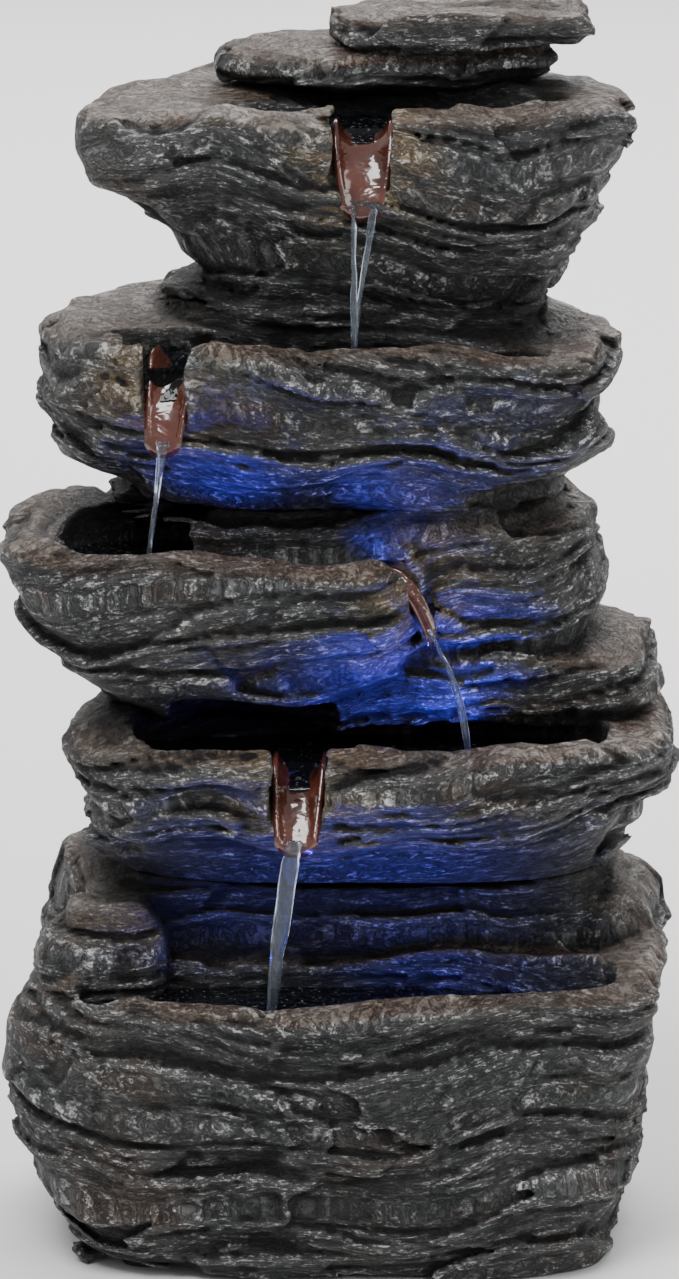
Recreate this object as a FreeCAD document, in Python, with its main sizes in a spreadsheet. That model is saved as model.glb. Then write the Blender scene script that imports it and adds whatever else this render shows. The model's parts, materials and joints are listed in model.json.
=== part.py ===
import FreeCAD, Part
import Sketcher
import math
import os

# A tabletop rock water fountain.  Five hollow castings are stacked and bonded: a reservoir base and four
# bowls whose spouts send the water from one bowl to the next.  A submersible pump stands in the chamber
# behind the base pool and lifts the water through a riser tube to the top bowl.  Three light pucks sit
# under water where the streams land.  Millimetres, +Z up, the front faces -Y, the origin is the centre of
# the footprint on the table.

Vector, Placement, Rotation = FreeCAD.Vector, FreeCAD.Placement, FreeCAD.Rotation

SIZES = [
    ("foot_height", 1.5, "rubber pad under the base"),
    ("foot_radius", 8.0, "rubber pad"),
    ("foot_x", 62.0, "pad centre from the middle, sideways"),
    ("foot_y", 55.0, "pad centre from the middle, front to back"),
    ("joint_base", 118.0, "top of the base casting"),
    ("joint_lower", 171.0, "top of the lower bowl casting"),
    ("joint_middle", 240.0, "top of the middle bowl casting"),
    ("joint_upper", 305.0, "top of the upper bowl casting"),
    ("joint_top", 370.0, "top of the top bowl casting"),
    ("floor_base", 8.0, "floor of the pump chamber and base pool"),
    ("floor_lower", 150.0, "floor of the lower pool"),
    ("floor_middle", 212.0, "floor of the middle pool"),
    ("floor_upper", 281.0, "floor of the upper pool"),
    ("floor_top", 350.0, "floor of the top pool"),
    ("floor_thick", 8.0, "pool floor under a light"),
    ("stem_play", 0.1, "clearance of a light's stem in its floor"),
    ("chamber_left", -78.0, "pump chamber"),
    ("chamber_right", 80.0, "pump chamber"),
    ("chamber_front", -22.0, "pump chamber"),
    ("chamber_back", 71.5, "pump chamber"),
    ("chamber_corner", 22.0, "pump chamber, corner radius"),
    ("shaftway_corner", 9.0, "narrower upper part of the chamber, corner radius"),
    ("chamber_top", 84.0, "pump chamber"),
    ("shaftway_left", -50.0, "narrower upper part of the chamber"),
    ("shaftway_front", -14.0, "narrower upper part of the chamber"),
    ("shaftway_right", 75.0, "narrower upper part of the chamber"),
    ("shelf_top", 90.0, "shelf that carries the junction box"),
    ("shelf_thick", 6.0, "shelf that carries the junction box"),
    ("duct", 34.0, "riser duct, sideways"),
    ("duct_depth", 36.0, "riser duct, front to back"),
    ("duct_left", -12.0, "riser duct"),
    ("duct_front", 22.0, "riser duct"),
    ("pump_x", 12.0, "front face of the pump motor"),
    ("pump_y", 44.0, "pump and riser axis from the middle"),
    ("cup_height", 5.0, "suction cup under the pump"),
    ("cup_radius", 5.0, "suction cup under the pump"),
    ("motor_length", 40.0, "pump motor housing along its axis"),
    ("motor_side", 34.0, "pump motor housing, square across"),
    ("motor_wall", 2.0, "pump motor housing"),
    ("well_radius", 7.0, "rotor well inside"),
    ("well_wall", 1.2, "rotor well"),
    ("well_depth", 22.0, "rotor well"),
    ("core_thick", 4.5, "laminated core, leg thickness"),
    ("core_height", 15.0, "laminated core, stack height"),
    ("coil_wall", 3.0, "winding round the core"),
    ("volute_radius", 14.5, "impeller chamber outside"),
    ("volute_bore", 12.5, "impeller chamber inside radius"),
    ("volute_length", 14.0, "impeller cover along the axis"),
    ("volute_face", 2.0, "front wall of the impeller cover"),
    ("nozzle_radius", 4.0, "pump outlet outside"),
    ("nozzle_bore", 2.75, "pump outlet inside radius"),
    ("nozzle_top", 60.0, "top of the pump outlet above the table"),
    ("nozzle_back", 7.0, "pump outlet in front of the motor face"),
    ("shaft_radius", 1.0, "ceramic pump shaft"),
    ("shaft_play", 0.05, "running clearance of the rotor on its shaft"),
    ("bush_radius", 3.0, "front shaft bush"),
    ("bush_length", 3.0, "shaft bush"),
    ("magnet_radius", 6.0, "rotor magnet"),
    ("magnet_length", 17.0, "rotor magnet"),
    ("impeller_radius", 10.5, "impeller blade tip"),
    ("impeller_width", 6.0, "impeller blades along the axis"),
    ("strainer_length", 24.0, "strainer cap along the pump axis"),
    ("strainer_wall", 1.8, "strainer cap"),
    ("collar_radius", 7.0, "flow collar round the pump outlet"),
    ("collar_play", 0.08, "running clearance of the flow collar"),
    ("collar_height", 5.0, "flow collar"),
    ("collar_bottom", 48.0, "flow collar above the table"),
    ("tube_radius", 5.5, "riser tube outside"),
    ("tube_bore", 4.1, "riser tube inside radius"),
    ("tube_bend", 14.0, "radius of the riser tube's bend"),
    ("tube_foot", 54.0, "lower end of the riser tube"),
    ("tube_split", 150.0, "joint between the two tube lengths"),
    ("tube_tail", 6.0, "straight end of the riser tube after the bend"),
    ("joiner_collar", 4.0, "collar of the tube joiner"),
    ("outlet_z", 357.0, "outlet fitting above the table"),
    ("outlet_radius", 5.0, "outlet fitting through the wall"),
    ("outlet_tip", -6.0, "front end of the outlet fitting"),
    ("puck_radius", 9.0, "light puck"),
    ("puck_height", 6.0, "light puck"),
    ("puck_wall", 1.3, "light puck"),
    ("puck_floor", 1.6, "light puck"),
    ("stem_radius", 3.8, "light puck stem"),
    ("stem_length", 14.0, "light puck stem"),
    ("nut_height", 4.0, "nut under a light puck"),
    ("nut_flats", 13.0, "nut under a light puck, across flats"),
    ("stand_top", 60.0, "stand of the base light above the table"),
    ("stand_radius", 12.0, "stand of the base light"),
    ("lead_radius", 1.2, "light and pump leads"),
    ("lead_bend", 5.0, "radius of the leads' bends"),
    ("grommet_x", -35.0, "cord grommet from the middle"),
    ("grommet_z", 97.0, "cord grommet above the table"),
    ("grommet_seat", 79.0, "outer seat of the cord grommet"),
    ("grommet_neck", 5.4, "cord grommet in its hole, radius"),
    ("grommet_bore", 2.8, "cord hole radius"),
    ("grommet_flange", 8.0, "cord grommet flange radius"),
    ("door_width", 76.0, "access door face"),
    ("door_height", 40.0, "access door face"),
    ("door_x", 8.0, "middle of the access door, sideways"),
    ("door_z", 146.0, "middle of the access door above the table"),
    ("door_seat", 75.0, "rebate that the door closes on"),
    ("door_rebate", 4.0, "width of the rebate"),
    ("door_gap", 0.6, "clearance round the door"),
    ("door_thick", 6.5, "access door face plate"),
    ("box_length", 34.0, "junction box"),
    ("box_depth", 18.0, "junction box"),
    ("box_height", 14.0, "junction box"),
    ("box_wall", 1.6, "junction box"),
    ("box_left", -46.0, "junction box"),
    ("box_front", 50.0, "junction box"),
]


class Dim:
    """A size with its value in millimetres and the spreadsheet expression that it comes from."""

    def __init__(self, value, text):
        self.value, self.text = value, text

    def _with(self, other, sign, result):
        other_text = other.text if isinstance(other, Dim) else repr(float(other))
        return Dim(result, f"({self.text} {sign} {other_text})")

    def __add__(self, other):
        return self._with(other, "+", self.value + plain(other))

    def __sub__(self, other):
        return self._with(other, "-", self.value - plain(other))

    def __mul__(self, other):
        return self._with(other, "*", self.value * plain(other))

    def __truediv__(self, other):
        return self._with(other, "/", self.value / plain(other))

    def __neg__(self):
        return Dim(-self.value, f"(-{self.text})")


def plain(size):
    """The number behind a Dim, or the number itself."""
    return size.value if isinstance(size, Dim) else float(size)


def as_dim(size):
    return size if isinstance(size, Dim) else Dim(float(size), repr(float(size)))


doc = FreeCAD.newDocument("Fountain")
sheet = doc.addObject("Spreadsheet::Sheet", "Sizes")
for row, (alias, number, note) in enumerate(SIZES, start=1):
    sheet.set(f"A{row}", alias)
    sheet.set(f"B{row}", str(number))
    sheet.set(f"C{row}", note)
    sheet.setAlias(f"B{row}", alias)
doc.recompute()
D = {alias: Dim(float(sheet.get(alias)), f"Sizes.{alias}") for alias, _, _ in SIZES}
parts = []


def bind(thing, prop, size):
    """Sets a property to a number, or binds it to the spreadsheet."""
    if isinstance(size, Dim):
        thing.setExpression(prop, size.text)
    else:
        value = float(size)
        if "." in prop:
            thing.setExpression(prop, repr(value))
        else:
            setattr(thing, prop, value)


def move(thing, x, y, z):
    for letter, size in zip("xyz", (x, y, z)):
        bind(thing, f"Placement.Base.{letter}", size)


def aim(thing, axis, angle):
    thing.Placement = Placement(Vector(0, 0, 0), Rotation(axis, angle))


def keep(thing, label):
    """Names a finished sub-part, which is then written to its own file."""
    thing.Label = label
    parts.append(thing)
    return thing


# ---------------------------------------------------------------- primitives, booleans and sketches

ALONG_X = (Vector(0, 1, 0), 90)
ALONG_Y = (Vector(1, 0, 0), -90)
serial = iter(range(10000))


def fresh(kind):
    return f"{kind}_{next(serial)}"


def cylinder(radius, height, x, y, z, turn=None):
    made = doc.addObject("Part::Cylinder", fresh("cylinder"))
    bind(made, "Radius", radius)
    bind(made, "Height", height)
    if turn:
        aim(made, *turn)
    move(made, x, y, z)
    return made


def box(length, width, height, x, y, z):
    """A box from its lowest corner."""
    made = doc.addObject("Part::Box", fresh("box"))
    for prop, size in zip(("Length", "Width", "Height"), (length, width, height)):
        bind(made, prop, size)
    move(made, x, y, z)
    return made


def fuse(*things):
    made = doc.addObject("Part::MultiFuse", fresh("fuse"))
    made.Shapes = list(things)
    return made


def cut(base, *tools):
    made = doc.addObject("Part::Cut", fresh("cut"))
    made.Base = base
    made.Tool = tools[0] if len(tools) == 1 else fuse(*tools)
    return made


def solid(shape):
    made = doc.addObject("Part::Feature", fresh("solid"))
    made.Shape = shape
    return made


def new_body(label):
    return doc.addObject("PartDesign::Body", fresh("body")), label


def new_sketch(body, role="XY_Plane", offset=0.0):
    sketch = body.newObject("Sketcher::SketchObject", fresh("sketch"))
    plane = next(f for f in body.Origin.OriginFeatures if f.Role == role)
    sketch.AttachmentSupport = [(plane, "")]
    sketch.MapMode = "FlatFace"
    bind(sketch, "AttachmentOffset.Base.z", offset)
    return sketch


def pin_point(sketch, line, end, x, y):
    """Holds a sketch point at a place measured from the sketch's origin."""
    for kind, size in (("DistanceX", x), ("DistanceY", y)):
        value = plain(size)
        at = sketch.addConstraint(Sketcher.Constraint(kind, -1, 1, line, end, value))
        if isinstance(size, Dim):
            sketch.setExpression(f"Constraints[{at}]", size.text)


def polygon(sketch, points):
    """A closed polygon, every corner tied to the spreadsheet."""
    count = len(points)
    for i, (x, y) in enumerate(points):
        nx, ny = points[(i + 1) % count]
        start, stop = Vector(plain(x), plain(y), 0), Vector(plain(nx), plain(ny), 0)
        sketch.addGeometry(Part.LineSegment(start, stop), False)
    first = sketch.GeometryCount - count
    for i, (x, y) in enumerate(points):
        line, before = first + i, first + (i - 1) % count
        sketch.addConstraint(Sketcher.Constraint("Coincident", before, 2, line, 1))
        pin_point(sketch, line, 1, x, y)


def circle(sketch, radius, x=0.0, y=0.0):
    centre = Vector(plain(x), plain(y), 0)
    at = sketch.addGeometry(Part.Circle(centre, Vector(0, 0, 1), plain(radius)), False)
    size = sketch.addConstraint(Sketcher.Constraint("Radius", at, plain(radius)))
    if isinstance(radius, Dim):
        sketch.setExpression(f"Constraints[{size}]", radius.text)
    pin_point(sketch, at, 3, x, y)


def pad(body, sketch, length, reverse=False):
    made = body.newObject("PartDesign::Pad", fresh("pad"))
    made.Profile = sketch
    made.Reversed = reverse
    bind(made, "Length", length)
    return made


def pocket(body, sketch, length, reverse=False):
    made = body.newObject("PartDesign::Pocket", fresh("pocket"))
    made.Profile = sketch
    made.Reversed = reverse
    bind(made, "Length", length)
    return made


def turned(label, profile, x, y, z, turn=None):
    """A body of revolution: a profile of (radius, height) points turned about its own Z axis."""
    body, label = new_body(label)
    sketch = new_sketch(body, "XZ_Plane")
    polygon(sketch, profile)
    spin = body.newObject("PartDesign::Revolution", fresh("revolution"))
    spin.Profile = sketch
    spin.ReferenceAxis = (sketch, ["V_Axis"])
    spin.Angle = 360
    if turn:
        aim(body, *turn)
    move(body, x, y, z)
    return keep(body, label)


# ---------------------------------------------------------------- rock outlines

OUTLINE_POINTS = 24
LUMP = 0.05
LUMP_PITCH = 17.0


def outline(level, squareness, lump):
    """A smooth closed outline at one height.  A level is (height, left, right, front, back), and may end
    with a tilt, the rise of the outline from left to right in millimetres per millimetre."""
    z, left, right, front, back = level[:5]
    tilt = level[5] if len(level) > 5 else 0.0
    middle_x, middle_y = (left + right) / 2, (front + back) / 2
    half_x, half_y = (right - left) / 2, (back - front) / 2
    points = []
    for i in range(OUTLINE_POINTS):
        a = 2 * math.pi * i / OUTLINE_POINTS
        c, s = math.cos(a), math.sin(a)
        grow = 1 + lump * math.sin(2 * a) * math.cos(3 * a + z / LUMP_PITCH)
        x = middle_x + grow * half_x * math.copysign(abs(c) ** (2 / squareness), c)
        y = middle_y + grow * half_y * math.copysign(abs(s) ** (2 / squareness), s)
        points.append(Vector(x, y, z + tilt * (x - middle_x)))
    curve = Part.BSplineCurve()
    curve.interpolate(points, PeriodicFlag=True)
    return Part.Wire(curve.toShape())


def rock(levels, squareness=3.0, lump=LUMP):
    """A solid between the outlines of its levels, with a crease at each."""
    return solid(Part.makeLoft([outline(level, squareness, lump) for level in levels], True, True))


def hollow(levels, squareness=3.2):
    """The space inside a casting, without the lumps of the outside."""
    return rock(levels, squareness, 0.0)


# ---------------------------------------------------------------- spouts

SPOUT_GAP = 0.25
SPOUT_WALL = 1.8


def chute_section(centre, flow, half_width, depth, rise):
    """A U with a round bottom, standing across the flow.  centre is the lowest point of the U."""
    side = Vector(-flow.y, flow.x, 0) * half_width
    up = Vector(0, 0, 1)
    low = centre + up * depth
    top = centre + up * (depth + rise)
    arc = Part.Arc(low - side, centre, low + side).toShape()
    edges = [
        Part.makeLine(top - side, low - side),
        arc,
        Part.makeLine(low + side, top + side),
        Part.makeLine(top + side, top - side),
    ]
    return Part.Wire(edges)


def chute_solid(spout, grow, edges, longer=0.0):
    """The space of a chute, widened by grow and closed at the heights that edges gives for its stations."""
    flow = Vector(math.cos(spout["aim"]), math.sin(spout["aim"]), 0)
    stations = spout["stations"]
    wires = []
    for i, (along, z, half_width, _) in enumerate(stations):
        if i in (0, len(stations) - 1):
            beside = stations[1 if i == 0 else -2]
            further = longer / (along - beside[0])
            z += abs(further) * (z - beside[1])
            along += abs(further) * (along - beside[0])
        centre = Vector(spout["x"], spout["y"], 0) + flow * along
        centre.z = z - grow
        depth = half_width * 0.5 + grow
        rise = max(edges[i] - z - half_width * 0.5, 0.6)
        wires.append(chute_section(centre, flow, half_width + grow, depth, rise))
    return Part.makeLoft(wires, True, True)


def spout_liner(spout):
    """A thin U-shaped chute with its lip standing out of the rock."""
    edges = [station[3] for station in spout["stations"]]
    outer = chute_solid(spout, SPOUT_WALL, edges)
    inner = chute_solid(spout, 0.0, [edge + 6 for edge in edges], longer=2.0)
    return outer.cut(inner)


def spout_notch(spout):
    """What a casting gives up to its chute."""
    top = spout["rim"] + 12
    return chute_solid(spout, SPOUT_WALL + SPOUT_GAP, [top] * len(spout["stations"]), longer=6.0)


# Each spout: where it crosses the rim, which way it points, the height of the rim there, and its stations
# (distance along the flow, height of the bottom, half width, height of the side edges).
FORWARD = -math.pi / 2
SPOUTS = {
    "top_spout": {
        "x": 7.5, "y": -42.0, "aim": FORWARD, "rim": 369.0,
        "stations": [(-12, 361.0, 8.2, 367), (-3, 359.0, 8.4, 366), (4, 351.0, 7.8, 356), (8.5, 339.5, 5.8, 343)],
    },
    "upper_spout": {
        "x": -53.0, "y": -48.0, "aim": FORWARD - 0.30, "rim": 298.0,
        "stations": [(-13, 289.5, 8.2, 295), (-4, 286.5, 7.4, 293), (3.5, 277.0, 6.0, 281),
                     (8.5, 265.5, 4.6, 268.5)],
    },
    "middle_spout": {
        "x": 21.0, "y": -44.0, "aim": -0.40, "rim": 230.0,
        "stations": [(-12, 220.0, 5.0, 225), (-3, 218.0, 4.8, 223), (4, 212.0, 4.2, 216), (9, 203.0, 3.4, 206)],
    },
    "lower_spout": {
        "x": -13.0, "y": -62.0, "aim": FORWARD - 0.06, "rim": 171.0,
        "stations": [(-12, 160.0, 7.4, 167), (-3, 157.5, 7.2, 165), (5, 149.0, 6.4, 153), (11, 140.5, 5.4, 143.5)],
    },
}


# ---------------------------------------------------------------- the five castings and the crown

rear_column = {"squareness": 3.4}
nozzle_x = D["pump_x"] - D["nozzle_back"]


def span(x0, x1, y0, y1, z0, z1):
    """A box between two corners, in numbers or sheet sizes."""
    return box(as_dim(x1) - x0, as_dim(y1) - y0, as_dim(z1) - z0, x0, y0, z0)


def rounded_span(x0, x1, y0, y1, z0, z1, radius):
    """A box between two corners with rounded upright edges."""
    block = span(x0, x1, y0, y1, z0, z1)
    doc.recompute()
    made = doc.addObject("Part::Fillet", fresh("fillet"))
    made.Base = block
    upright = []
    for i, edge in enumerate(block.Shape.Edges, start=1):
        if abs(edge.tangentAt(edge.FirstParameter).z) > 0.99:
            upright.append((i, plain(radius), plain(radius)))
    made.Edges = upright
    return made


def riser_duct(low, high):
    return span(D["duct_left"], D["duct_left"] + D["duct"], D["duct_front"],
                D["duct_front"] + D["duct_depth"], low, high)


# Where each light puck sits: x, y and the height of its underside.
LIGHTS = {
    "base": (5.0, -52.0, D["stand_top"]),
    "lower": (38.0, -30.0, D["floor_lower"]),
    "middle": (-45.0, -42.0, D["floor_middle"]),
}


def stem_hole(name):
    """The hole in a pool floor for a light's stem."""
    x, y, floor = LIGHTS[name]
    return cylinder(D["stem_radius"] + D["stem_play"], D["floor_thick"] + 4, x, y, floor - D["floor_thick"] - 2)


base_outside = fuse(
    rock([
        (plain(D["foot_height"]), -90, 91, -78, 82),
        (8, -92, 94, -82, 85),
        (22, -95.5, 97.5, -86, 87),
        (34, -97, 98, -88, 88),
        (41, -103.5, 99, -89, 89),
        (55, -107, 96, -88, 89),
        (64, -103.5, 98, -90, 89),
        (76, -102, 103, -88, 88),
        (85, -99, 107, -88, 87, 0.02),
        (88, -98, 107, -87, 86, 0.03),
        (92, -92, 101, -82, 84, 0.03),
    ], squareness=3.6, lump=0.03),
    rock([
        (70, -96, 100, -20, 84),
        (91, -97, 104, -22, 86),
        (97, -95, 104, -22, 86),
        (104, -92, 98, -23, 85),
        (111, -89, 91, -24, 84),
        (plain(D["joint_base"]), -72, 89, -26, 83),
    ], lump=0.03, **rear_column),
)
base_pool = hollow([
    (plain(D["floor_base"]), -72, 74, -68, -36),
    (60, -80, 82, -73, -33),
    (80, -82, 86, -76, -31),
    (104, -84, 90, -77, -30),
], squareness=3.0)
pump_chamber = rounded_span(D["chamber_left"], D["chamber_right"], D["chamber_front"], D["chamber_back"],
                            D["floor_base"], D["chamber_top"], D["chamber_corner"])
shaftway = rounded_span(D["shaftway_left"], D["shaftway_right"], D["shaftway_front"], D["chamber_back"],
                        D["chamber_top"] - 1, D["joint_base"] + 1, D["shaftway_corner"])
arch = span(-20, 20, -40, D["chamber_front"] + 8, D["floor_base"], 34)
grommet_hole = cylinder(D["grommet_neck"] + 0.1, 40, D["grommet_x"], D["chamber_back"] - 5, D["grommet_z"],
                        ALONG_Y)
grommet_face = cylinder(D["grommet_flange"] + 1, 30, D["grommet_x"], D["grommet_seat"], D["grommet_z"],
                        ALONG_Y)
shelf = span(D["chamber_left"] + 20, D["box_left"] + D["box_length"] + 2, D["box_front"] - 4,
             D["chamber_back"] + 2, D["shelf_top"] - D["shelf_thick"], D["shelf_top"])
outcrop = rock([
    (74, -88, -58, -43, -20),
    (84, -95, -54, -47, -16),
    (97, -96, -57, -45, -16),
    (106, -92, -61, -39, -16),
    (112, -86, -66, -33, -16),
])
base_shell = cut(base_outside, base_pool, pump_chamber, shaftway, arch, grommet_hole, grommet_face)
keep(fuse(base_shell, shelf, outcrop), "base_basin")

lower_outside = rock([
    (plain(D["joint_base"]), -71, 89, -28, 83),
    (124, -77, 93, -36, 83),
    (131, -82, 97, -47, 84),
    (137, -82, 97, -61, 84),
    (141, -79, 97, -68, 84),
    (149, -85, 106, -72, 84),
    (158, -89, 108, -76, 84),
    (165, -87, 108, -76, 84, 0.01),
    (168, -84, 106, -74, 84, 0.01),
    (plain(D["joint_lower"]), -76, 102, -68, 83, 0.0),
], squareness=3.1, lump=0.03)
lower_pool = hollow([
    (plain(D["floor_lower"]), -66, 84, -58, -9),
    (172, -68, 88, -62, -8),
])
lower_chamber = rounded_span(D["shaftway_left"], D["shaftway_right"], 0, 68, D["joint_base"] - 1, 163,
                             D["shaftway_corner"])
under_lower_pool = hollow([
    (127, -62, 78, -31, 8),
    (plain(D["floor_lower"] - D["floor_thick"]), -66, 82, -49, 8),
])
half_width, half_height = D["door_width"] / 2, D["door_height"] / 2
door_rebate = span(D["door_x"] - half_width, D["door_x"] + half_width, D["door_seat"], 95,
                   D["door_z"] - half_height, D["door_z"] + half_height)
inner_width, inner_height = half_width - D["door_rebate"], half_height - D["door_rebate"]
door_opening = span(D["door_x"] - inner_width, D["door_x"] + inner_width, 60, D["door_seat"] + 1,
                    D["door_z"] - inner_height, D["door_z"] + inner_height)
lower_cuts = [lower_pool, lower_chamber, under_lower_pool, riser_duct(160, 175), door_rebate, door_opening,
              stem_hole("lower")]

middle_outside = fuse(
    rock([
        (plain(D["joint_lower"]), -76, 100, -30, 82),
        (177, -78, 104, -36, 82),
        (190, -78, 102, -34, 81),
        (195, -78, 82, -30, 80),
        (200, -78, 81, -33, 80),
        (210, -78, 86, -37, 79),
        (217, -78, 84, -37, 79),
        (232, -78, 81, -32, 77),
        (237, -74, 75, -28, 76),
        (plain(D["joint_middle"]), -68, 71, -28, 75),
    ], lump=0.03, **rear_column),
    rock([
        (173, -75, 14, -30, 50),
        (185, -87, 24, -48, 54),
        (197, -97, 28, -61, 56),
        (208, -103, 31, -68, 58),
        (219, -108, 33, -71, 58, -0.03),
        (226, -106, 33, -70, 57, -0.05),
        (231, -98, 28, -65, 54, -0.06),
    ], squareness=2.8),
)
middle_pool = hollow([
    (plain(D["floor_middle"]), -86, 18, -58, -29),
    (236, -88, 22, -61, -29),
], squareness=2.8)
middle_pool_back = hollow([
    (plain(D["floor_middle"]), -86, -44, -44, 10),
    (236, -89, -44, -46, 14),
], squareness=2.6)
middle_recess = hollow([
    (165, -62, 2, -60, -10),
    (181, -56, -4, -60, -16),
])
middle_void = hollow([
    (165, -60, 66, 0, 68),
    (187, -62, 68, 0, 66),
    (plain(D["floor_middle"] - D["floor_thick"]), -62, 68, -16, 66),
])
middle_void_top = hollow([
    (200, -32, 66, -16, 64),
    (232, -32, 62, -16, 62),
])
under_middle_pool = hollow([
    (188, -78, 18, -40, 42),
    (plain(D["floor_middle"] - D["floor_thick"]), -88, 20, -57, 44),
])
middle_cuts = [middle_pool, middle_pool_back, middle_recess, middle_void, middle_void_top,
               under_middle_pool, riser_duct(225, 245), stem_hole("middle")]

upper_outside = fuse(
    rock([
        (plain(D["joint_middle"]), -67, 71, -28, 75),
        (246, -68, 67, -34, 74),
        (251, -74, 75, -41, 74),
        (258, -85, 84, -51, 74),
        (265, -89, 84, -59, 73),
        (270, -91, 81, -60, 73),
        (276, -96, 82, -62, 73),
        (288, -97, 87, -63, 73, -0.01),
        (293, -96, 88, -62, 72, -0.03),
        (297, -90, 82, -57, 71, -0.04),
    ], squareness=2.9),
    rock([
        (286, -60, 70, -26, 71),
        (300, -58, 68, -25, 70),
        (plain(D["joint_upper"]), -56, 70, -24, 69),
    ], lump=0.03, **rear_column),
)
upper_pool = hollow([
    (plain(D["floor_upper"]), -72, 62, -49, -23),
    (304, -74, 66, -53, -23.5),
], squareness=2.6)
upper_void = hollow([
    (235, -54, 56, -15, 64),
    (250, -60, 60, -26, 64),
    (260, -70, 70, -37, 64),
    (plain(D["floor_upper"] - D["floor_thick"]), -76, 68, -45, 62),
])
upper_void_top = hollow([
    (262, -42, 58, -11, 60),
    (297, -42, 56, -11, 58),
])
upper_cuts = [upper_pool, upper_void, upper_void_top, riser_duct(290, 310)]

top_outside = rock([
    (plain(D["joint_upper"]), -57, 70, -24, 68),
    (309, -43, 72, -24, 68),
    (314, -43, 76, -28, 68),
    (321, -50, 81, -33, 67),
    (328, -52, 83, -37, 67),
    (333, -60, 84, -42, 67),
    (338, -64, 86, -48, 66),
    (347, -77, 90, -51, 66),
    (356, -81, 92, -53, 66),
    (364, -80, 93, -52, 65),
    (367, -77, 92, -50, 65),
    (plain(D["joint_top"]), -70, 86, -44, 64),
], squareness=2.9)
top_pool = hollow([
    (plain(D["floor_top"]), -30, 64, -34, 2),
    (372, -33, 70, -38, 3),
], squareness=2.6)
outlet_hole = cylinder(D["outlet_radius"] + 0.15, 60, nozzle_x, -20, D["outlet_z"], ALONG_Y)
top_void = hollow([
    (300, -32, 60, -12, 58),
    (314, -32, 64, -16, 58),
    (330, -42, 72, -26, 56),
    (plain(D["floor_top"] - D["floor_thick"]), -54, 74, -32, 54),
])
top_cuts = [top_pool, top_void, riser_duct(335, 366), outlet_hole]

castings = {
    "lower": (lower_outside, lower_cuts),
    "middle": (middle_outside, middle_cuts),
    "upper": (upper_outside, upper_cuts),
    "top": (top_outside, top_cuts),
}
for name, (outside, cuts) in castings.items():
    spout = SPOUTS[name + "_spout"]
    keep(cut(outside, solid(spout_notch(spout)), *cuts), name + "_bowl")
    keep(solid(spout_liner(spout)), name + "_spout")

keep(rock([
    (plain(D["joint_top"]), -22, 52, 7, 56),
    (373, -36, 67, -8, 60),
    (377, -39, 70, -15, 61),
    (381, -37, 68, -13, 59),
    (384, -31, 64, -9, 55),
]), "crown_slab_lower")
keep(rock([
    (384, 0, 74, -13, 53),
    (388, -6, 80, -19, 57),
    (394, -2, 80, -16, 56),
    (400, 20, 64, -2, 46),
]), "crown_slab_upper")

# ---------------------------------------------------------------- access door, grommet and foot pads

body, label = new_body("access_door")
plate = new_sketch(body, "XZ_Plane", -D["door_seat"] - D["door_thick"])
gap = D["door_gap"]
polygon(plate, [
    (D["door_x"] - half_width + gap, D["door_z"] - half_height + gap),
    (D["door_x"] + half_width - gap, D["door_z"] - half_height + gap),
    (D["door_x"] + half_width - gap, D["door_z"] + half_height - gap),
    (D["door_x"] - half_width + gap, D["door_z"] + half_height - gap),
])
pad(body, plate, D["door_thick"])
lip = new_sketch(body, "XZ_Plane", -D["door_seat"])
polygon(lip, [
    (D["door_x"] - inner_width + gap, D["door_z"] - inner_height + gap),
    (D["door_x"] + inner_width - gap, D["door_z"] - inner_height + gap),
    (D["door_x"] + inner_width - gap, D["door_z"] + inner_height - gap),
    (D["door_x"] - inner_width + gap, D["door_z"] + inner_height - gap),
])
pad(body, lip, D["door_rebate"])
pull = new_sketch(body, "XZ_Plane", -D["door_seat"] - D["door_thick"])
PULL = (13.0, 2.0, 9.0)
polygon(pull, [
    (D["door_x"] - PULL[0], D["door_z"] + PULL[1]),
    (D["door_x"] + PULL[0], D["door_z"] + PULL[1]),
    (D["door_x"] + PULL[0], D["door_z"] + PULL[2]),
    (D["door_x"] - PULL[0], D["door_z"] + PULL[2]),
])
pocket(body, pull, 4.5, reverse=True)
keep(body, label)

wall = D["grommet_seat"] - D["chamber_back"]
turned("cord_grommet", [
    (D["grommet_bore"], -2),
    (D["grommet_flange"] - 1, -2),
    (D["grommet_flange"] - 1, 0),
    (D["grommet_neck"], 0),
    (D["grommet_neck"], wall),
    (D["grommet_flange"], wall),
    (D["grommet_flange"], wall + 1),
    (D["grommet_flange"] - 2, wall + 3),
    (D["grommet_bore"], wall + 3),
], D["grommet_x"], D["chamber_back"], D["grommet_z"], ALONG_Y)

pads = []
for side in (-1, 1):
    for end in (-1, 1):
        pads.append(cylinder(D["foot_radius"], D["foot_height"], D["foot_x"] * side, D["foot_y"] * end, 0))
keep(fuse(*pads), "foot_pads")

# ---------------------------------------------------------------- pump

AXIS_Z = D["floor_base"] + D["cup_height"] + D["motor_side"] / 2
half_side = D["motor_side"] / 2


def square_profile(sketch, half, grow=0.0):
    """A square about the pump axis in a sketch that stands across it."""
    side = as_dim(half) + grow
    polygon(sketch, [
        (D["pump_y"] - side, AXIS_Z - side),
        (D["pump_y"] + side, AXIS_Z - side),
        (D["pump_y"] + side, AXIS_Z + side),
        (D["pump_y"] - side, AXIS_Z + side),
    ])


def axis_circle(body, at, radius):
    sketch = new_sketch(body, "YZ_Plane", at)
    circle(sketch, radius, D["pump_y"], AXIS_Z)
    return sketch


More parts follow.
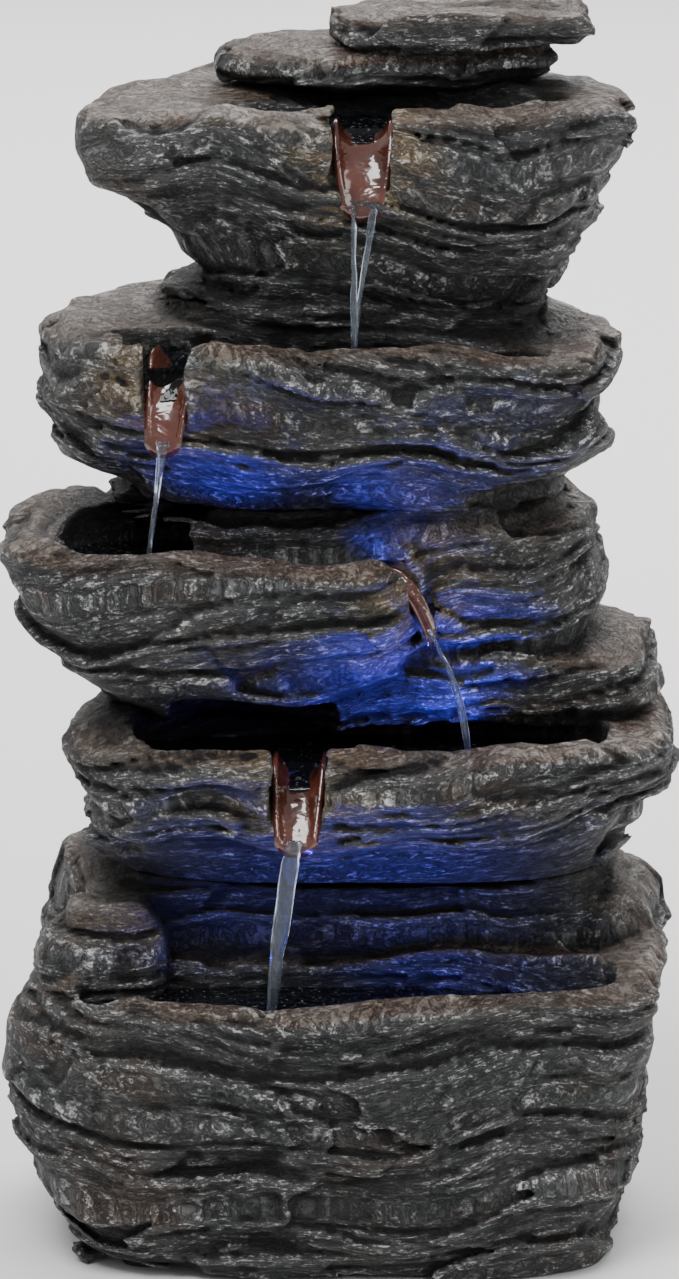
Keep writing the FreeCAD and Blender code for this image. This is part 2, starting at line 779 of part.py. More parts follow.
body, label = new_body("pump_housing")
outer = new_sketch(body, "YZ_Plane", D["pump_x"])
square_profile(outer, half_side)
pad(body, outer, D["motor_length"] - D["motor_wall"])
inner = new_sketch(body, "YZ_Plane", D["pump_x"] + D["motor_wall"])
square_profile(inner, half_side - D["motor_wall"])
pocket(body, inner, D["motor_length"], reverse=True)
pad(body, axis_circle(body, D["pump_x"] + D["motor_wall"] / 2, D["well_radius"] + D["well_wall"]),
    D["well_depth"] + D["well_wall"] - D["motor_wall"] / 2)
pocket(body, axis_circle(body, D["pump_x"], D["well_radius"]), D["well_depth"], reverse=True)
keep(body, label)

body, label = new_body("pump_end_cap")
plate = new_sketch(body, "YZ_Plane", D["pump_x"] + D["motor_length"] - D["motor_wall"])
square_profile(plate, half_side)
pad(body, plate, D["motor_wall"])
CAP_LIP = 1.5
lip = new_sketch(body, "YZ_Plane", D["pump_x"] + D["motor_length"] - D["motor_wall"] - CAP_LIP)
square_profile(lip, half_side - D["motor_wall"], -0.1)
pad(body, lip, CAP_LIP)
pocket(body, axis_circle(body, D["pump_x"] + D["motor_length"] - 10, D["lead_radius"] + 0.2), 20, reverse=True)
keep(body, label)

# The laminated core is a U lying on its side: two legs beside the rotor well and a bar behind it.
leg_inside = D["well_radius"] + D["well_wall"] + 0.3
leg_front = D["pump_x"] + D["motor_wall"] + 1
leg_back = D["pump_x"] + D["motor_length"] - D["motor_wall"] - 4.5
core_bits = []
for side in (-1, 1):
    low = D["pump_y"] + (leg_inside if side > 0 else -leg_inside - D["core_thick"])
    core_bits.append(box(leg_back - leg_front, D["core_thick"], D["core_height"], leg_front, low,
                         AXIS_Z - D["core_height"] / 2))
bar_front = leg_back - D["core_thick"]
core_bits.append(box(D["core_thick"], leg_inside * 2, D["core_height"], bar_front,
                     D["pump_y"] - leg_inside, AXIS_Z - D["core_height"] / 2))
keep(fuse(*core_bits), "pump_core")

coil_outer = box(D["core_thick"] + D["coil_wall"] * 2, leg_inside * 2 - 1,
                 D["core_height"] + D["coil_wall"] * 2, bar_front - D["coil_wall"],
                 D["pump_y"] - leg_inside + 0.5, AXIS_Z - D["core_height"] / 2 - D["coil_wall"])
coil_inner = box(D["core_thick"] + 0.2, leg_inside * 3, D["core_height"] + 0.2, bar_front - 0.1,
                 D["pump_y"] - leg_inside * 1.5, AXIS_Z - D["core_height"] / 2 - 0.1)
keep(cut(coil_outer, coil_inner), "pump_coil")

# The impeller cover is open towards the motor.  Its outlet points up.
body, label = new_body("pump_volute")
cover_front = D["pump_x"] - D["volute_length"]
pad(body, axis_circle(body, cover_front, D["volute_radius"]), D["volute_length"])
spigot = new_sketch(body, "XY_Plane", AXIS_Z)
circle(spigot, D["nozzle_radius"], nozzle_x, D["pump_y"])
pad(body, spigot, D["nozzle_top"] - AXIS_Z)
pocket(body, axis_circle(body, cover_front + D["volute_face"], D["volute_bore"]), D["volute_length"],
       reverse=True)
passage = new_sketch(body, "XY_Plane", AXIS_Z)
circle(passage, D["nozzle_bore"], nozzle_x, D["pump_y"])
pocket(body, passage, 60, reverse=True)
pocket(body, axis_circle(body, cover_front - 1, D["bush_radius"]), D["volute_face"] + 1, reverse=True)
INLETS, INLET_CIRCLE, INLET_RADIUS = 6, 7.0, 1.6
inlets = new_sketch(body, "YZ_Plane", cover_front - 1)
for i in range(INLETS):
    a = 2 * math.pi * i / INLETS
    circle(inlets, INLET_RADIUS, D["pump_y"] + INLET_CIRCLE * math.cos(a),
           AXIS_Z + INLET_CIRCLE * math.sin(a))
pocket(body, inlets, D["volute_face"] + 1, reverse=True)
keep(body, label)

# The strainer pulls off forwards along the pump axis; a slot in its top clears the outlet.
STRAINER_GAP = 0.3
body, label = new_body("pump_strainer")
front = D["pump_x"] - D["strainer_length"]
outer = new_sketch(body, "YZ_Plane", front)
square_profile(outer, half_side)
pad(body, outer, D["strainer_length"] - STRAINER_GAP)
inner = new_sketch(body, "YZ_Plane", front + D["strainer_wall"])
square_profile(inner, half_side - D["strainer_wall"])
pocket(body, inner, D["strainer_length"], reverse=True)
slot = new_sketch(body, "XY_Plane", AXIS_Z)
half_slot = D["nozzle_radius"] + 0.6
polygon(slot, [
    (nozzle_x - half_slot, D["pump_y"] - half_slot),
    (D["pump_x"] + 1, D["pump_y"] - half_slot),
    (D["pump_x"] + 1, D["pump_y"] + half_slot),
    (nozzle_x - half_slot, D["pump_y"] + half_slot),
])
pocket(body, slot, D["motor_side"], reverse=True)
grille = new_sketch(body, "YZ_Plane", front)
SLITS, SLIT_PITCH, SLIT_HALF = 6, 4.6, 1.0
for i in range(SLITS):
    y = D["pump_y"] + SLIT_PITCH * (i - (SLITS - 1) / 2)
    polygon(grille, [
        (y - SLIT_HALF, AXIS_Z - 11),
        (y + SLIT_HALF, AXIS_Z - 11),
        (y + SLIT_HALF, AXIS_Z + 11),
        (y - SLIT_HALF, AXIS_Z + 11),
    ])
pocket(body, grille, D["strainer_wall"], reverse=True)
side_grille = new_sketch(body, "XZ_Plane", -D["pump_y"] - half_side)
for i in range(3):
    z = AXIS_Z + 7 * (i - 1)
    polygon(side_grille, [
        (front + 4, z - 1),
        (front + 19, z - 1),
        (front + 19, z + 1),
        (front + 4, z + 1),
    ])
pocket(body, side_grille, D["motor_side"], reverse=True)
keep(body, label)

turned("pump_shaft", [
    (0, 0),
    (D["shaft_radius"], 0),
    (D["shaft_radius"], D["volute_length"] + D["well_depth"] - 2),
    (0, D["volute_length"] + D["well_depth"] - 2),
], cover_front + 0.5, D["pump_y"], AXIS_Z, ALONG_X)

for label, at, radius in (
    ("bush_front", cover_front, D["bush_radius"] - 0.02),
    ("bush_rear", D["pump_x"] + D["well_depth"] - D["bush_length"], D["well_radius"] - 0.02),
):
    turned(label, [
        (D["shaft_radius"], 0),
        (radius, 0),
        (radius, D["bush_length"]),
        (D["shaft_radius"], D["bush_length"]),
    ], at, D["pump_y"], AXIS_Z, ALONG_X)

rotor_bore = D["shaft_radius"] + D["shaft_play"]
magnet_front = D["pump_x"] + D["well_depth"] - D["bush_length"] - D["magnet_length"] - 0.6
turned("rotor_magnet", [
    (rotor_bore, 0),
    (D["magnet_radius"], 0),
    (D["magnet_radius"], D["magnet_length"]),
    (rotor_bore, D["magnet_length"]),
], magnet_front, D["pump_y"], AXIS_Z, ALONG_X)

BLADES, BLADE_THICK, HUB_RADIUS = 6, 1.4, 3.2
DISC_THICK, DISC_BEHIND = 1.2, 3.2
blade_front = magnet_front - D["impeller_width"] - DISC_BEHIND
wheel = [
    cylinder(HUB_RADIUS, magnet_front - blade_front, blade_front, D["pump_y"], AXIS_Z, ALONG_X),
    cylinder(D["impeller_radius"], DISC_THICK, blade_front + D["impeller_width"], D["pump_y"], AXIS_Z, ALONG_X),
]
vanes = []
for i in range(BLADES):
    vane = doc.addObject("Part::Box", fresh("vane"))
    bind(vane, "Length", D["impeller_width"] + 0.5)
    bind(vane, "Width", BLADE_THICK)
    bind(vane, "Height", D["impeller_radius"] - 1.5)
    turn = Rotation(Vector(1, 0, 0), 360 * i / BLADES)
    corner = turn.multVec(Vector(0, -BLADE_THICK / 2, 1.5))
    vane.Placement = Placement(corner, turn)
    move(vane, blade_front, D["pump_y"] + corner.y, AXIS_Z + corner.z)
    vanes.append(vane)
bore = cylinder(rotor_bore, 40, blade_front - 5, D["pump_y"], AXIS_Z, ALONG_X)
keep(cut(fuse(*wheel, *vanes), bore), "impeller")

body, label = new_body("flow_collar")
ring = new_sketch(body, "XY_Plane", D["collar_bottom"])
circle(ring, D["collar_radius"], nozzle_x, D["pump_y"])
pad(body, ring, D["collar_height"])
lever = new_sketch(body, "XY_Plane", D["collar_bottom"])
polygon(lever, [
    (nozzle_x - 13, D["pump_y"] - 2),
    (nozzle_x - 5.5, D["pump_y"] - 2),
    (nozzle_x - 5.5, D["pump_y"] + 2),
    (nozzle_x - 13, D["pump_y"] + 2),
])
pad(body, lever, D["collar_height"])
opening = new_sketch(body, "XY_Plane", D["collar_bottom"])
circle(opening, D["nozzle_radius"] + D["collar_play"], nozzle_x, D["pump_y"])
pocket(body, opening, D["collar_height"], reverse=True)
keep(body, label)

cups = []
for along in (8.0, 32.0):
    for side in (-11.0, 11.0):
        cups.append(cylinder(D["cup_radius"], 1.5, D["pump_x"] + along, D["pump_y"] + side,
                             D["floor_base"]))
        cups.append(cylinder(D["cup_radius"] - 2, D["cup_height"] - 1, D["pump_x"] + along,
                             D["pump_y"] + side, D["floor_base"] + 1))
keep(fuse(*cups), "suction_cups")

# ---------------------------------------------------------------- riser

tube_ring = [
    (D["tube_bore"], 0),
    (D["tube_radius"], 0),
    (D["tube_radius"], D["tube_split"] - D["joiner_collar"] / 2 - D["tube_foot"]),
    (D["tube_bore"], D["tube_split"] - D["joiner_collar"] / 2 - D["tube_foot"]),
]
turned("riser_lower", tube_ring, nozzle_x, D["pump_y"], D["tube_foot"])
barb = D["tube_bore"] - 0.05
turned("riser_joiner", [
    (D["nozzle_bore"], -10),
    (barb, -10),
    (barb, -D["joiner_collar"] / 2),
    (D["tube_radius"] + 0.7, -D["joiner_collar"] / 2),
    (D["tube_radius"] + 0.7, D["joiner_collar"] / 2),
    (barb, D["joiner_collar"] / 2),
    (barb, 10),
    (D["nozzle_bore"], 10),
], nozzle_x, D["pump_y"], D["tube_split"])


def bent_path(corners):
    """Straight runs joined by tangent arcs.  A corner is (x, y, z), and (x, y, z, bend) between runs."""
    points = [Vector(*corner[:3]) for corner in corners]
    edges, start = [], points[0]
    for i in range(1, len(points) - 1):
        bend = corners[i][3]
        arriving = (points[i] - points[i - 1]).normalize()
        leaving = (points[i + 1] - points[i]).normalize()
        enter, leave = points[i] - arriving * bend, points[i] + leaving * bend
        middle = enter + leaving * bend
        halfway = middle + (points[i] - middle).normalize() * bend
        edges.append(Part.makeLine(start, enter))
        edges.append(Part.Arc(enter, halfway, leave).toShape())
        start = leave
    edges.append(Part.makeLine(start, points[-1]))
    return Part.Wire(edges)


def swept(corners, radius):
    """A round bar along a bent path whose corners are right angles."""
    path = bent_path(corners)
    start, towards = Vector(*corners[0][:3]), Vector(*corners[1][:3])
    ring = Part.Wire(Part.Circle(start, towards - start, radius).toShape())
    bar = path.makePipeShell([ring], True, True)
    expected = path.Length * math.pi * radius ** 2
    if abs(bar.Volume - expected) > 0.01 * expected:
        raise RuntimeError("a swept bar differs from its length times its section")
    return bar


tube_x, tube_y, tube_z = plain(nozzle_x), plain(D["pump_y"]), plain(D["outlet_z"])
tube_corners = [
    (tube_x, tube_y, plain(D["tube_split"] + D["joiner_collar"] / 2)),
    (tube_x, tube_y, tube_z, plain(D["tube_bend"])),
    (tube_x, tube_y - plain(D["tube_bend"] + D["tube_tail"]), tube_z),
]
tube_skin = swept(tube_corners, plain(D["tube_radius"]))
tube_core = swept(tube_corners, plain(D["tube_bore"]))
keep(solid(tube_skin.cut(tube_core)), "riser_upper")

duct_back = D["duct_front"] + D["duct_depth"]
clips = []
for z in (D["joint_middle"] - 7, D["joint_upper"] - 7):
    band = cut(cylinder(D["tube_radius"] + 2, 6, nozzle_x, D["pump_y"], z),
               cylinder(D["tube_radius"] + 0.1, 6, nozzle_x, D["pump_y"], z))
    arm = span(nozzle_x - 3, nozzle_x + 3, D["pump_y"] + D["tube_radius"] + 1, duct_back, z, z + 6)
    clips += [band, arm]
keep(fuse(*clips), "riser_clips")

turned("outlet_fitting", [
    (D["nozzle_bore"], 0),
    (barb, 0),
    (barb, D["tube_tail"]),
    (D["tube_radius"] + 2, D["tube_tail"]),
    (D["tube_radius"] + 2, D["tube_tail"] + 2),
    (D["outlet_radius"], D["tube_tail"] + 2),
    (D["outlet_radius"], D["duct_front"] + 8 - D["outlet_tip"]),
    (D["nozzle_bore"], D["duct_front"] + 8 - D["outlet_tip"]),
], nozzle_x, D["duct_front"] + 8, D["outlet_z"], (Vector(1, 0, 0), 90))

# ---------------------------------------------------------------- lights

for name, (x, y, z) in LIGHTS.items():
    turned(f"light_{name}_housing", [
        (D["lead_radius"] + 0.1, -D["stem_length"]),
        (D["stem_radius"], -D["stem_length"]),
        (D["stem_radius"], 0),
        (D["puck_radius"], 0),
        (D["puck_radius"], D["puck_height"]),
        (D["puck_radius"] - D["puck_wall"], D["puck_height"]),
        (D["puck_radius"] - D["puck_wall"], D["puck_floor"]),
        (D["lead_radius"] + 0.1, D["puck_floor"]),
    ], x, y, z)
    turned(f"light_{name}_lens", [
        (0, D["puck_height"] - 1.2),
        (D["puck_radius"] - D["puck_wall"] - 0.05, D["puck_height"] - 1.2),
        (D["puck_radius"] - D["puck_wall"] - 0.05, D["puck_height"]),
        (D["puck_radius"] - D["puck_wall"] - 2, D["puck_height"] + 1.2),
        (0, D["puck_height"] + 1.8),
    ], x, y, z)
    board = cylinder(D["puck_radius"] - D["puck_wall"] - 0.2, 1.0, x, y, z + D["puck_floor"])
    chips = []
    for i in range(3):
        a = 2 * math.pi * i / 3
        chips.append(box(2.0, 2.0, 1.2, x + 3.6 * math.cos(a) - 1, y + 3.6 * math.sin(a) - 1,
                         z + D["puck_floor"] + 0.8))
    keep(fuse(board, *chips), f"light_{name}_board")
    if name != "base":
        body, label = new_body(f"light_{name}_nut")
        face = new_sketch(body, "XY_Plane", z - D["floor_thick"] - D["nut_height"])
        corner = D["nut_flats"] / 2 / math.cos(math.pi / 6)
        hexagon = []
        for i in range(6):
            a = math.pi * i / 3
            hexagon.append((corner * math.cos(a) + x, corner * math.sin(a) + y))
        polygon(face, hexagon)
        pad(body, face, D["nut_height"])
        bore_face = new_sketch(body, "XY_Plane", z - D["floor_thick"] - D["nut_height"])
        circle(bore_face, D["stem_radius"] + 0.02, x, y)
        pocket(body, bore_face, D["nut_height"], reverse=True)
        keep(body, label)

x, y, _ = LIGHTS["base"]
post = cylinder(D["stand_radius"], D["stand_top"] - D["floor_base"], x, y, D["floor_base"])
post_bore = cylinder(D["stem_radius"] + 0.1, D["stand_top"], x, y, D["floor_base"])
post_slot = span(x - 3, x + 3, y, y + 20, D["floor_base"], D["floor_base"] + 9)
keep(cut(post, post_bore, post_slot), "light_stand")

# ---------------------------------------------------------------- junction box and leads

box_right, box_back = D["box_left"] + D["box_length"], D["box_front"] + D["box_depth"]
box_top = D["shelf_top"] + D["box_height"]
box_wall = D["box_wall"]
lead_z = plain(D["grommet_z"])
tray = cut(
    span(D["box_left"], box_right, D["box_front"], box_back, D["shelf_top"], box_top - box_wall),
    span(D["box_left"] + box_wall, box_right - box_wall, D["box_front"] + box_wall, box_back - box_wall,
         D["shelf_top"] + box_wall, box_top),
)
LEAD_DOORS = {"middle": -27.0, "lower": -34.0, "base": -41.0}
LEAD_BACK = 64.5
door_cuts = [cylinder(D["lead_radius"] + 0.1, 6, x, D["box_front"] - 2, lead_z, ALONG_Y)
             for x in LEAD_DOORS.values()]
door_cuts.append(cylinder(D["lead_radius"] + 0.1, 6, box_right - 4, LEAD_BACK, lead_z, ALONG_X))
door_cuts.append(cylinder(D["grommet_bore"], 6, D["grommet_x"], box_back - 4, lead_z, ALONG_Y))
keep(cut(tray, *door_cuts), "junction_box")
keep(span(D["box_left"], box_right, D["box_front"], box_back, box_top - box_wall, box_top), "junction_lid")
board = span(D["box_left"] + 4, box_right - 6, D["box_front"] + 6, box_back - 3, D["shelf_top"] + box_wall,
             D["shelf_top"] + box_wall + 1.2)
chip = span(D["box_left"] + 10, D["box_left"] + 20, D["box_front"] + 7, D["box_front"] + 13,
            D["shelf_top"] + box_wall + 1.2, D["shelf_top"] + box_wall + 3.0)
keep(fuse(board, chip), "junction_board")

inside = plain(D["box_front"]) + 4
floor_run = plain(D["floor_base"]) + 4.4
pump_axis = plain(AXIS_Z)
CURVE = 10.0
LEADS = {
    "lead_middle": [
        (-45, -42, 213), (-45, -42, 192, 6), (-45, 32, 192, CURVE), (-5, 32, 192, 7),
        (-5, 32, lead_z, CURVE), (LEAD_DOORS["middle"], 32, lead_z, CURVE),
        (LEAD_DOORS["middle"], inside, lead_z),
    ],
    "lead_lower": [
        (38, -30, 151), (38, -30, 131.4, 4.5), (38, 16, 131.4, CURVE), (38, 16, lead_z, CURVE),
        (LEAD_DOORS["lower"], 16, lead_z, CURVE), (LEAD_DOORS["lower"], inside, lead_z),
    ],
    "lead_base": [
        (5, -52, 61), (5, -52, floor_run, 4.5), (5, 2, floor_run, CURVE),
        (LEAD_DOORS["base"], 2, floor_run, CURVE), (LEAD_DOORS["base"], 2, lead_z, CURVE),
        (LEAD_DOORS["base"], inside, lead_z),
    ],
    "lead_pump": [
        (49, 44, pump_axis), (60, 44, pump_axis, 8), (60, LEAD_BACK, pump_axis, 8),
        (-2, LEAD_BACK, pump_axis, CURVE), (-2, LEAD_BACK, lead_z, CURVE),
        (plain(box_right) - 4, LEAD_BACK, lead_z),
    ],
}
for name, corners in LEADS.items():
    keep(solid(swept(corners, plain(D["lead_radius"]))), name)


# ---------------------------------------------------------------- check and write

doc.recompute()
for thing in doc.Objects:
    if "Invalid" in thing.State or "Error" in thing.State:
        raise RuntimeError(f"{thing.Label} did not recompute: {thing.State}")

os.makedirs("parts", exist_ok=True)
for part in parts:
    shape = part.Shape
    if shape.isNull() or not shape.isValid() or not shape.Solids:
        raise RuntimeError(f"{part.Label} has no valid shape")
    shape.exportStep(f"parts/{part.Label}.step")
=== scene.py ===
import json
import math

import bpy
import numpy as np
import openvdb
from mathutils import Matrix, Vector


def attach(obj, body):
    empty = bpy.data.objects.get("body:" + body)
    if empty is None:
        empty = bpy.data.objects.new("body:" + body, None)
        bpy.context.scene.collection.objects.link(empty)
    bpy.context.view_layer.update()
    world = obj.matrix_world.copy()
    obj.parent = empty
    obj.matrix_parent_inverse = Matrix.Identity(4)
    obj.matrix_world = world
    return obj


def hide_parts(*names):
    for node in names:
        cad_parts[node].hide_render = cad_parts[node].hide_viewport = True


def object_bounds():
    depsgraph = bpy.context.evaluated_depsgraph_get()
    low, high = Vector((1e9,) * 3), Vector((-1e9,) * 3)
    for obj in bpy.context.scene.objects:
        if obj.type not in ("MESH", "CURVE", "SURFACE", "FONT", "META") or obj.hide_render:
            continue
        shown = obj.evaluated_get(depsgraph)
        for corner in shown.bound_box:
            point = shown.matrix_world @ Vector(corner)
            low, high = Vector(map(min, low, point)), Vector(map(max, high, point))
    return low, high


# A tabletop rock fountain.  The rock pieces are carved out of their CAD solids: each solid becomes a
# distance field, beds, slabs and laminae are cut into the field, and the result is meshed again.
# Lengths are in millimetres until build_mesh and plain_mesh turn them into metres.

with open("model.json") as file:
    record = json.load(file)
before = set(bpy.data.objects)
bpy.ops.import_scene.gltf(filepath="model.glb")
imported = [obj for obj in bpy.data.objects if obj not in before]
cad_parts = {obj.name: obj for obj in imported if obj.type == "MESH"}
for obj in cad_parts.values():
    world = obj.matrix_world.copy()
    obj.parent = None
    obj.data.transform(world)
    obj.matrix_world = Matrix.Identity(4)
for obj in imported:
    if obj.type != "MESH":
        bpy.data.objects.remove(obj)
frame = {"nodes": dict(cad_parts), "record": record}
START_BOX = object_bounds()

MM = 0.001
ROCK_VOXEL = 1.05

# Where the spouts leave the rock, in millimetres.
NOTCHES = [(7.5, -46, 358), (-55, -54, 284), (26, -50, 217), (-13, -68, 156)]


# ---------------------------------------------------------------- noise

TABLE_SIZE = 64
rng = np.random.default_rng(7)
LATTICE = rng.random((TABLE_SIZE, TABLE_SIZE, TABLE_SIZE), dtype=np.float32) * 2 - 1


def value_noise(x, y, z, seed=0):
    """Smooth noise from -1 to 1 with a feature size of one unit."""
    x, y, z = x + 17.31 * seed, y + 5.77 * seed, z + 11.13 * seed
    xi, yi, zi = np.floor(x), np.floor(y), np.floor(z)
    fx, fy, fz = x - xi, y - yi, z - zi
    fx, fy, fz = (f * f * (3 - 2 * f) for f in (fx, fy, fz))
    xi, yi, zi = (i.astype(np.int32) % TABLE_SIZE for i in (xi, yi, zi))
    xj, yj, zj = (xi + 1) % TABLE_SIZE, (yi + 1) % TABLE_SIZE, (zi + 1) % TABLE_SIZE
    flat = LATTICE.ravel()

    def corner(a, b, c):
        return flat[(a * TABLE_SIZE + b) * TABLE_SIZE + c]

    x00 = corner(xi, yi, zi) * (1 - fx) + corner(xj, yi, zi) * fx
    x10 = corner(xi, yj, zi) * (1 - fx) + corner(xj, yj, zi) * fx
    x01 = corner(xi, yi, zj) * (1 - fx) + corner(xj, yi, zj) * fx
    x11 = corner(xi, yj, zj) * (1 - fx) + corner(xj, yj, zj) * fx
    return (x00 * (1 - fy) + x10 * fy) * (1 - fz) + (x01 * (1 - fy) + x11 * fy) * fz


def cell_noise(x, y, z, seed=0):
    """One random value from -1 to 1 for each unit cell."""
    xi, yi, zi = (np.floor(c).astype(np.int32) + 13 * seed for c in (x, y, z))
    return LATTICE[xi % TABLE_SIZE, (yi * 7 + 3) % TABLE_SIZE, (zi * 5 + 1) % TABLE_SIZE]


def smoothstep(low, high, v):
    t = np.clip((v - low) / (high - low), 0, 1)
    return t * t * (3 - 2 * t)


# ---------------------------------------------------------------- strata

BED = 15.0              # thickness of a thick bed
LAMINA = 3.4            # thickness of a thin layer
CREVICE_DEPTH = 3.0     # of the gaps between thick beds
LARGE_SLAB = (46, 15)   # width and thickness of the slabs that broke away
SMALL_SLAB = (19, 5.6)


def ridge(n):
    """Turns noise into sharp ridges from -1 to 1."""
    return 1 - 3 * np.abs(n)


def bedding(x, y, z, seed):
    """The height measured along the beds, which sag, rise and change thickness across the fountain."""
    tilt = 0.16 * math.sin(2.1 * seed) * x + 0.10 * math.cos(1.3 * seed) * y
    lean = 8.5 * value_noise(x / 70, y / 70, z / 50, seed)
    sag = 2.4 * value_noise(x / 24, y / 24, z / 22, seed + 1)
    w = z + tilt + (lean + sag)
    return w + 3.4 * np.sin(w * 0.19 + seed) + 1.2 * np.sin(w * 0.47 + 2 * seed)


def flakes(u, v, w, seed):
    """Angular slabs: each point takes the tilted plane of the nearest of many scattered centres."""
    cell = [np.floor(c - 0.5) for c in (u, v, w)]
    best = np.full(u.shape, 9.0, dtype=np.float32)
    out = np.zeros_like(best)
    for corner in range(8):
        i, j, k = (c + (corner >> n & 1) for n, c in enumerate(cell))
        away = [a - (b + 0.5 + 0.42 * cell_noise(i, j, k, seed + n)) for n, (a, b) in
                enumerate(((u, i), (v, j), (w, k)))]
        distance = away[0] ** 2 + away[1] ** 2 + away[2] ** 2
        height = (cell_noise(i, j, k, seed + 5) + 0.9 * cell_noise(i, j, k, seed + 6) * away[0]
                  + 0.9 * cell_noise(i, j, k, seed + 7) * away[1] + 0.8 * away[2])
        nearer = distance < best
        best = np.where(nearer, distance, best)
        out = np.where(nearer, height, out)
    return out


def strata(x, y, z, w, seed):
    """How far the rock stands out, in millimetres, at each point."""
    bent_x = x + 5 * value_noise(x / 17, y / 17, z / 12, seed + 8)
    bent_y = y + 5 * value_noise(x / 17, y / 17, z / 12, seed + 9)
    # thick beds, each with its own outline, parted here and there by crevices
    bed = np.floor(w / BED)
    t = w / BED - bed
    out = 3.4 * value_noise(x / 38, y / 38, bed * 7.31, seed + 2)
    crevice = np.exp(-((t / 0.10) ** 2)) + 0.7 * np.exp(-(((1 - t) / 0.05) ** 2))
    broken = smoothstep(0.0, 0.45, value_noise(x / 30, y / 30, bed * 5.3, seed + 4))
    out -= CREVICE_DEPTH * crevice * broken
    # slabs that broke away at a slant, large and small
    for height, (width, thickness), shift in ((2.3, LARGE_SLAB, 12), (0.95, SMALL_SLAB, 22)):
        out += height * flakes(bent_x / width, bent_y / width, w / thickness, seed + shift)
    # laminae, strong in some places and worn smooth in others
    v = w + 1.3 * value_noise(x / 11, y / 11, z / 8, seed + 5)
    lam = np.floor(v / LAMINA)
    s = v / LAMINA - lam
    rugged = smoothstep(-0.30, 0.40, value_noise(x / 32, y / 32, z / 16, seed + 13))
    out += (0.15 + 0.7 * rugged) * value_noise(x / 13, y / 13, lam * 2.93, seed + 6)
    out -= 0.75 * rugged * np.exp(-((s / 0.16) ** 2))
    # fibres
    out += (0.30 + 0.35 * rugged) * ridge(value_noise(x / 9, y / 9, w / 1.7, seed + 11))
    return out


# ---------------------------------------------------------------- distance fields

def mesh_arrays(obj):
    """Vertex places in millimetres and triangles of a mesh object."""
    mesh = obj.data
    mesh.calc_loop_triangles()
    points = np.empty(len(mesh.vertices) * 3, dtype=np.float32)
    mesh.vertices.foreach_get("co", points)
    faces = np.empty(len(mesh.loop_triangles) * 3, dtype=np.int32)
    mesh.loop_triangles.foreach_get("vertices", faces)
    return points.reshape(-1, 3) / MM, faces.reshape(-1, 3).astype(np.uint32)


class Field:
    """A dense distance field: negative inside, in millimetres."""

    def __init__(self, obj, voxel, band):
        points, faces = mesh_arrays(obj)
        self.voxel = voxel
        transform = openvdb.createLinearTransform(voxel)
        grid = openvdb.FloatGrid.createLevelSetFromPolygons(
            points, triangles=faces, transform=transform, halfWidth=band / voxel)
        low, high = grid.evalActiveVoxelBoundingBox()
        self.low = np.array(low) - 2
        size = np.array(high) - np.array(low) + 5
        self.values = np.empty(tuple(size), dtype=np.float32)
        grid.copyToArray(self.values, ijk=tuple(int(v) for v in self.low))
        self.background = float(band)

    def near(self, reach):
        """Indices and places of the voxels within reach of the surface."""
        index = np.nonzero(np.abs(self.values) < reach)
        place = [((i + low) * self.voxel).astype(np.float32) for i, low in zip(index, self.low)]
        return index, place

    def blurred(self, radius):
        """A box blur of about the given radius, in millimetres."""
        width = max(int(round(radius / self.voxel)), 1)
        out = np.clip(self.values, -3 * radius - 2, 3 * radius + 2)
        for axis in range(3):
            total = np.zeros_like(out)
            for shift in range(-width, width + 1):
                total += np.roll(out, shift, axis)
            out = total / (2 * width + 1)
        return out

    def sample(self, values, points):
        """values read at points given in millimetres."""
        p = points / self.voxel - self.low
        i = np.clip(np.floor(p).astype(np.int32), 0, np.array(values.shape) - 2)
        f = np.clip(p - i, 0, 1)
        out = 0.0
        for dx in (0, 1):
            for dy in (0, 1):
                for dz in (0, 1):
                    weight = (np.abs(1 - dx - f[:, 0]) * np.abs(1 - dy - f[:, 1]) * np.abs(1 - dz - f[:, 2]))
                    out = out + weight * values[i[:, 0] + dx, i[:, 1] + dy, i[:, 2] + dz]
        return out

    def mesh(self, adaptivity):
        """Points, triangles and quads of the surface."""
        grid = openvdb.FloatGrid(self.background)
        grid.copyFromArray(np.ascontiguousarray(self.values), ijk=tuple(int(v) for v in self.low))
        grid.transform = openvdb.createLinearTransform(self.voxel)
        return grid.convertToPolygons(isovalue=0.0, adaptivity=adaptivity)


def build_mesh(name, points, triangles, quads):
    """A mesh object from points in millimetres."""
    mesh = bpy.data.meshes.new(name)
    loops = np.concatenate([triangles.ravel(), quads.ravel()]).astype(np.int32)
    sizes = np.concatenate([np.full(len(triangles), 3), np.full(len(quads), 4)]).astype(np.int32)
    starts = np.concatenate([[0], np.cumsum(sizes)[:-1]]).astype(np.int32)
    mesh.vertices.add(len(points))
    mesh.vertices.foreach_set("co", (points * MM).astype(np.float32).ravel())
    mesh.loops.add(len(loops))
    mesh.loops.foreach_set("vertex_index", loops)
    mesh.polygons.add(len(sizes))
    mesh.polygons.foreach_set("loop_start", starts)
    mesh.polygons.foreach_set("loop_total", sizes)
    mesh.update(calc_edges=True)
    mesh.validate()
    mesh.flip_normals()
    mesh.shade_smooth()
    obj = bpy.data.objects.new(name, mesh)
    bpy.context.scene.collection.objects.link(obj)
    return obj


def paint(obj, name, values):
    """Values at the points, for the rock's material to read."""
    layer = obj.data.attributes.new(name, "FLOAT", "POINT")
    layer.data.foreach_set("value", values.astype(np.float32))


# ---------------------------------------------------------------- where the rock stays plain

